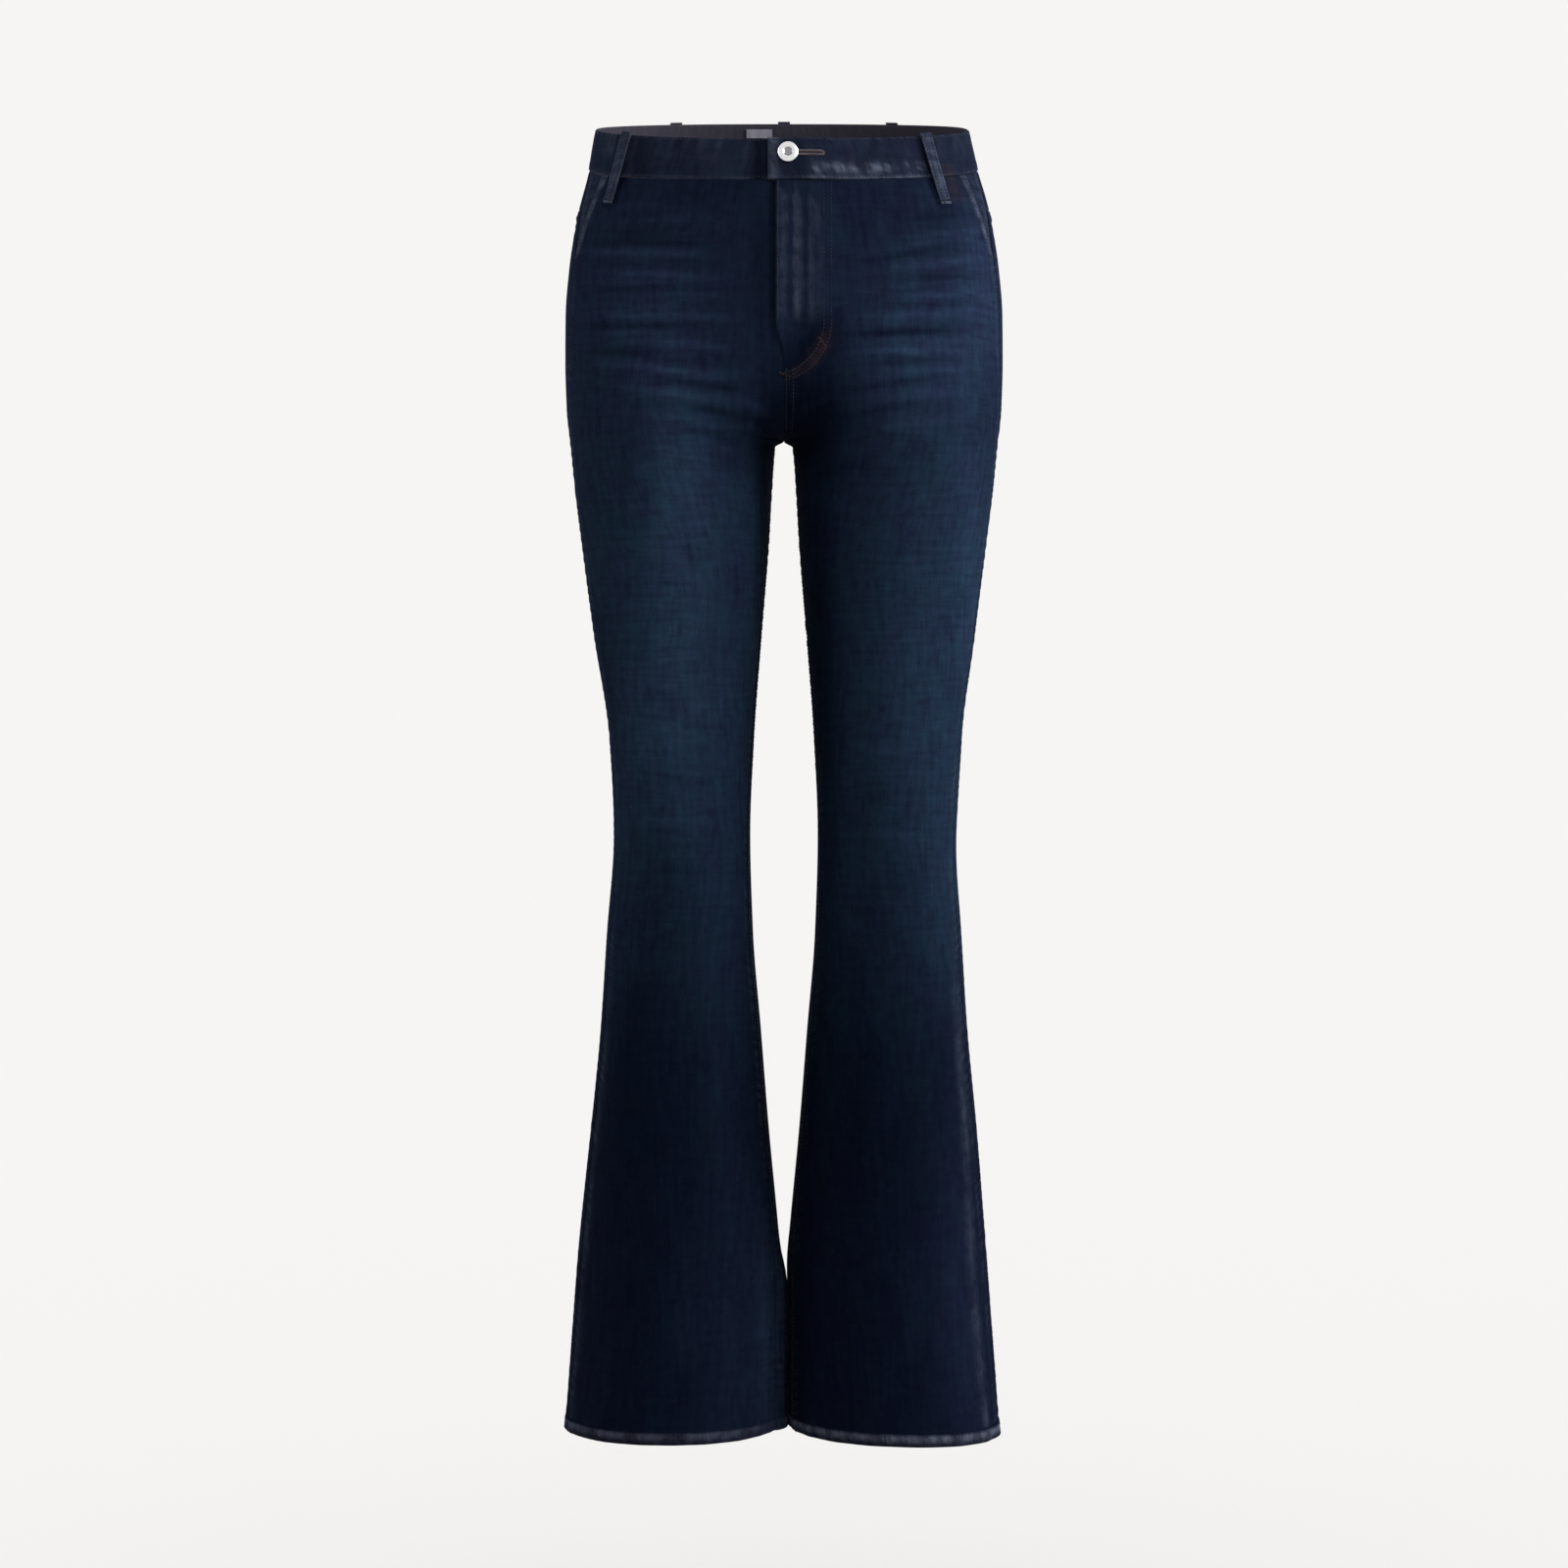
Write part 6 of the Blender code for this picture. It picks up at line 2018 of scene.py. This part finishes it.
def sewTacks():
    # bar tacks at both ends of the pocket mouths, and two brown ones at the fly
    for leg in (1, -1):
        for place, past, lean in ((mouth["bottom"] + 0.001, 0.0048, 4), (-0.0495, 0.005, 2)):
            girth = pocketMouth(np.array([place]))[0] + past
            tackOn("tack", frontFaceAt, girth, place, thread["tackLength"], thread["tackWidth"], lean, leg)
    girth = girthLength(-0.19, "front") - 0.0315
    tackOn("fly_tack", frontFaceAt, girth, -0.1905, 0.0105, 0.0019, 62, count=16)
    girth = girthLength(-0.2175, "front") - 0.001
    tackOn("fly_tack", frontFaceAt, girth, -0.2165, 0.01, 0.0019, 22, count=16)


buttonhole = {
    "start": -0.0005,
    "end": 0.0235,
    "half": 0.001,
    "bite": 0.002,
    "count": 44,
    "rise": 0.0002,
}


def makeButtonhole():
    # a keyhole slot that runs from the button's shank away from the band's end, edged with close stitches
    near = girthLength(waist["level"], "front") - button["x"]
    middle = (waistEdge(np.array([near])) - button["below"])[0]

    def edgeStitches(inner, outer):
        start, normal = surfaceLine(bandFaceAt, inner[:, 0], inner[:, 1], 1, rise=buttonhole["rise"])
        end = bandFaceAt(outer[:, 0], outer[:, 1], 1, buttonhole["rise"])
        keepStitches("buttonhole", start, end, normal, thread["radius"])

    along = np.linspace(buttonhole["start"], buttonhole["end"], buttonhole["count"])
    for side in (-1, 1):
        edge = np.full_like(along, middle + side * buttonhole["half"] * 0.45)
        inner = np.stack((near - along, edge), axis=-1)
        edgeStitches(inner, inner + np.array((0.0004, side * buttonhole["bite"])))
    turn = np.linspace(-0.5 * math.pi, 0.5 * math.pi, 9)

    def tip(reach, half):
        # half an ellipse round the buttonhole's outer end
        along = near - buttonhole["end"] - reach * np.cos(turn)
        return np.stack((along, middle + half * np.sin(turn)), axis=-1)

    hole = 0.0006
    edgeStitches(tip(hole, hole), tip(0.0028, 0.0026))


def sewPatches():
    # two rows round the sides and foot of each back pocket, two across its top, and a tack at each corner
    for leg in (1, -1):
        for inset in patch["edgeStitches"]:
            side = inset / patch["width"]
            foot = 1 - inset / (patch["length"] * patch["footShare"])
            down = np.linspace(0.012, foot, 90)
            right, left = np.full_like(down, side), np.full_like(down, 1 - side)
            across = np.concatenate((right, np.linspace(side, 1 - side, 90), left))
            down = np.concatenate((down, np.full(90, foot), down[::-1]))
            addStitches("patch", surfaceLine(patchFaceAt, across, down, leg))
        across = np.linspace(0.02, 0.98, 90)
        for inset in patch["topStitches"]:
            down = np.full_like(across, inset / patch["length"])
            addStitches("patch", surfaceLine(patchFaceAt, across, down, leg))
        t, side = zigzag(14)
        for corner in (0.035, 0.965):
            down = 0.03 + t * thread["tackLength"] / patch["length"]
            across = corner + side * thread["tackWidth"] / patch["width"]
            addTack("tack", *surfaceLine(patchFaceAt, across, down, leg))


for leg in (1, -1):
    sewLegs(leg)
sewMiddle()
sewFly()
sewBand()
sewLoops()
sewTacks()
sewPatches()
makeButtonhole()
for group in ("seam", "hem", "pocket", "band", "patch", "tack", "fly"):
    makeThreads(group, "slate")
makeThreads("fly_curve", "rust")
makeThreads("fly_tack", "rust")
makeThreads("buttonhole", "hole")

studio = {
    "backdrop": (0.9216, 0.9131, 0.8963, 1),
    "floorDrop": 0.25,
    "floorSize": 14.0,
    "floorColour": (0.96, 0.96, 0.96, 1),
    "floorGlow": 0.04,
    # the lights as columns: name, strength, softness, angle round from the front, angle up
    "lights": (
        ("key", 6.0, 40.0, 76.0, 18.0),
        ("rim", 1.6, 50.0, -98.0, 12.0),
        ("behind", 1.8, 60.0, 172.0, 24.0),
    ),
}


def makeStudio():
    # pale floor and world of one brightness, a large soft key from the viewer's right, a weak rim from the
    # left and one from behind, all of which leave the floor alone, so that nothing shades it
    size = studio["floorSize"]
    level = cadBounds[0][2] - studio["floorDrop"]
    mesh = bpy.data.meshes.new("floor")
    corners = [(-size, -size, level), (size, -size, level), (size, size, level), (-size, size, level)]
    mesh.from_pydata(corners, [], [(0, 1, 2, 3)])
    graph = Graph("floorPale", {
        "Base Color": studio["floorColour"],
        "Roughness": 1.0,
        "Specular IOR Level": 0.0,
        "Emission Color": studio["backdrop"],
        "Emission Strength": studio["floorGlow"],
    })
    mesh.materials.append(graph.material)
    floor = bpy.data.objects.new("floor", mesh)
    bpy.context.scene.collection.objects.link(floor)
    world = bpy.data.worlds.new("studio")
    world.use_nodes = True
    background = world.node_tree.nodes["Background"]
    background.inputs["Color"].default_value = studio["backdrop"]
    background.inputs["Strength"].default_value = 1.0
    bpy.context.scene.world = world
    unlit = bpy.data.collections.new("unlitByLamps")
    unlit.objects.link(floor)
    for name, strength, softness, around, up in studio["lights"]:
        light = bpy.data.lights.new(name, "SUN")
        light.energy = strength
        light.angle = math.radians(softness)
        lamp = bpy.data.objects.new(name, light)
        bpy.context.scene.collection.objects.link(lamp)
        around, up = math.radians(around), math.radians(up)
        towards = Vector((math.sin(around) * math.cos(up), -math.cos(around) * math.cos(up), math.sin(up)))
        lamp.location = towards * 3.0
        lamp.rotation_mode = "QUATERNION"
        lamp.rotation_quaternion = (-towards).to_track_quat("-Z", "Y")
        lamp.light_linking.receiver_collection = unlit
    unlit.collection_objects[0].light_linking.link_state = "EXCLUDE"
    camera = bpy.data.cameras.new("camera")
    camera.lens = view["lens"]
    camera.sensor_width = view["sensor"]
    eye = bpy.data.objects.new("camera", camera)
    bpy.context.scene.collection.objects.link(eye)
    eye.location = (0, -view["distance"], view["height"])
    eye.rotation_mode = "QUATERNION"
    towards = Vector((0, view["distance"], view["aim"] - view["height"]))
    eye.rotation_quaternion = towards.to_track_quat("-Z", "Y")
    bpy.context.scene.camera = eye
    bpy.context.scene.view_settings.view_transform = "Standard"


makeStudio()
print("studio ready")
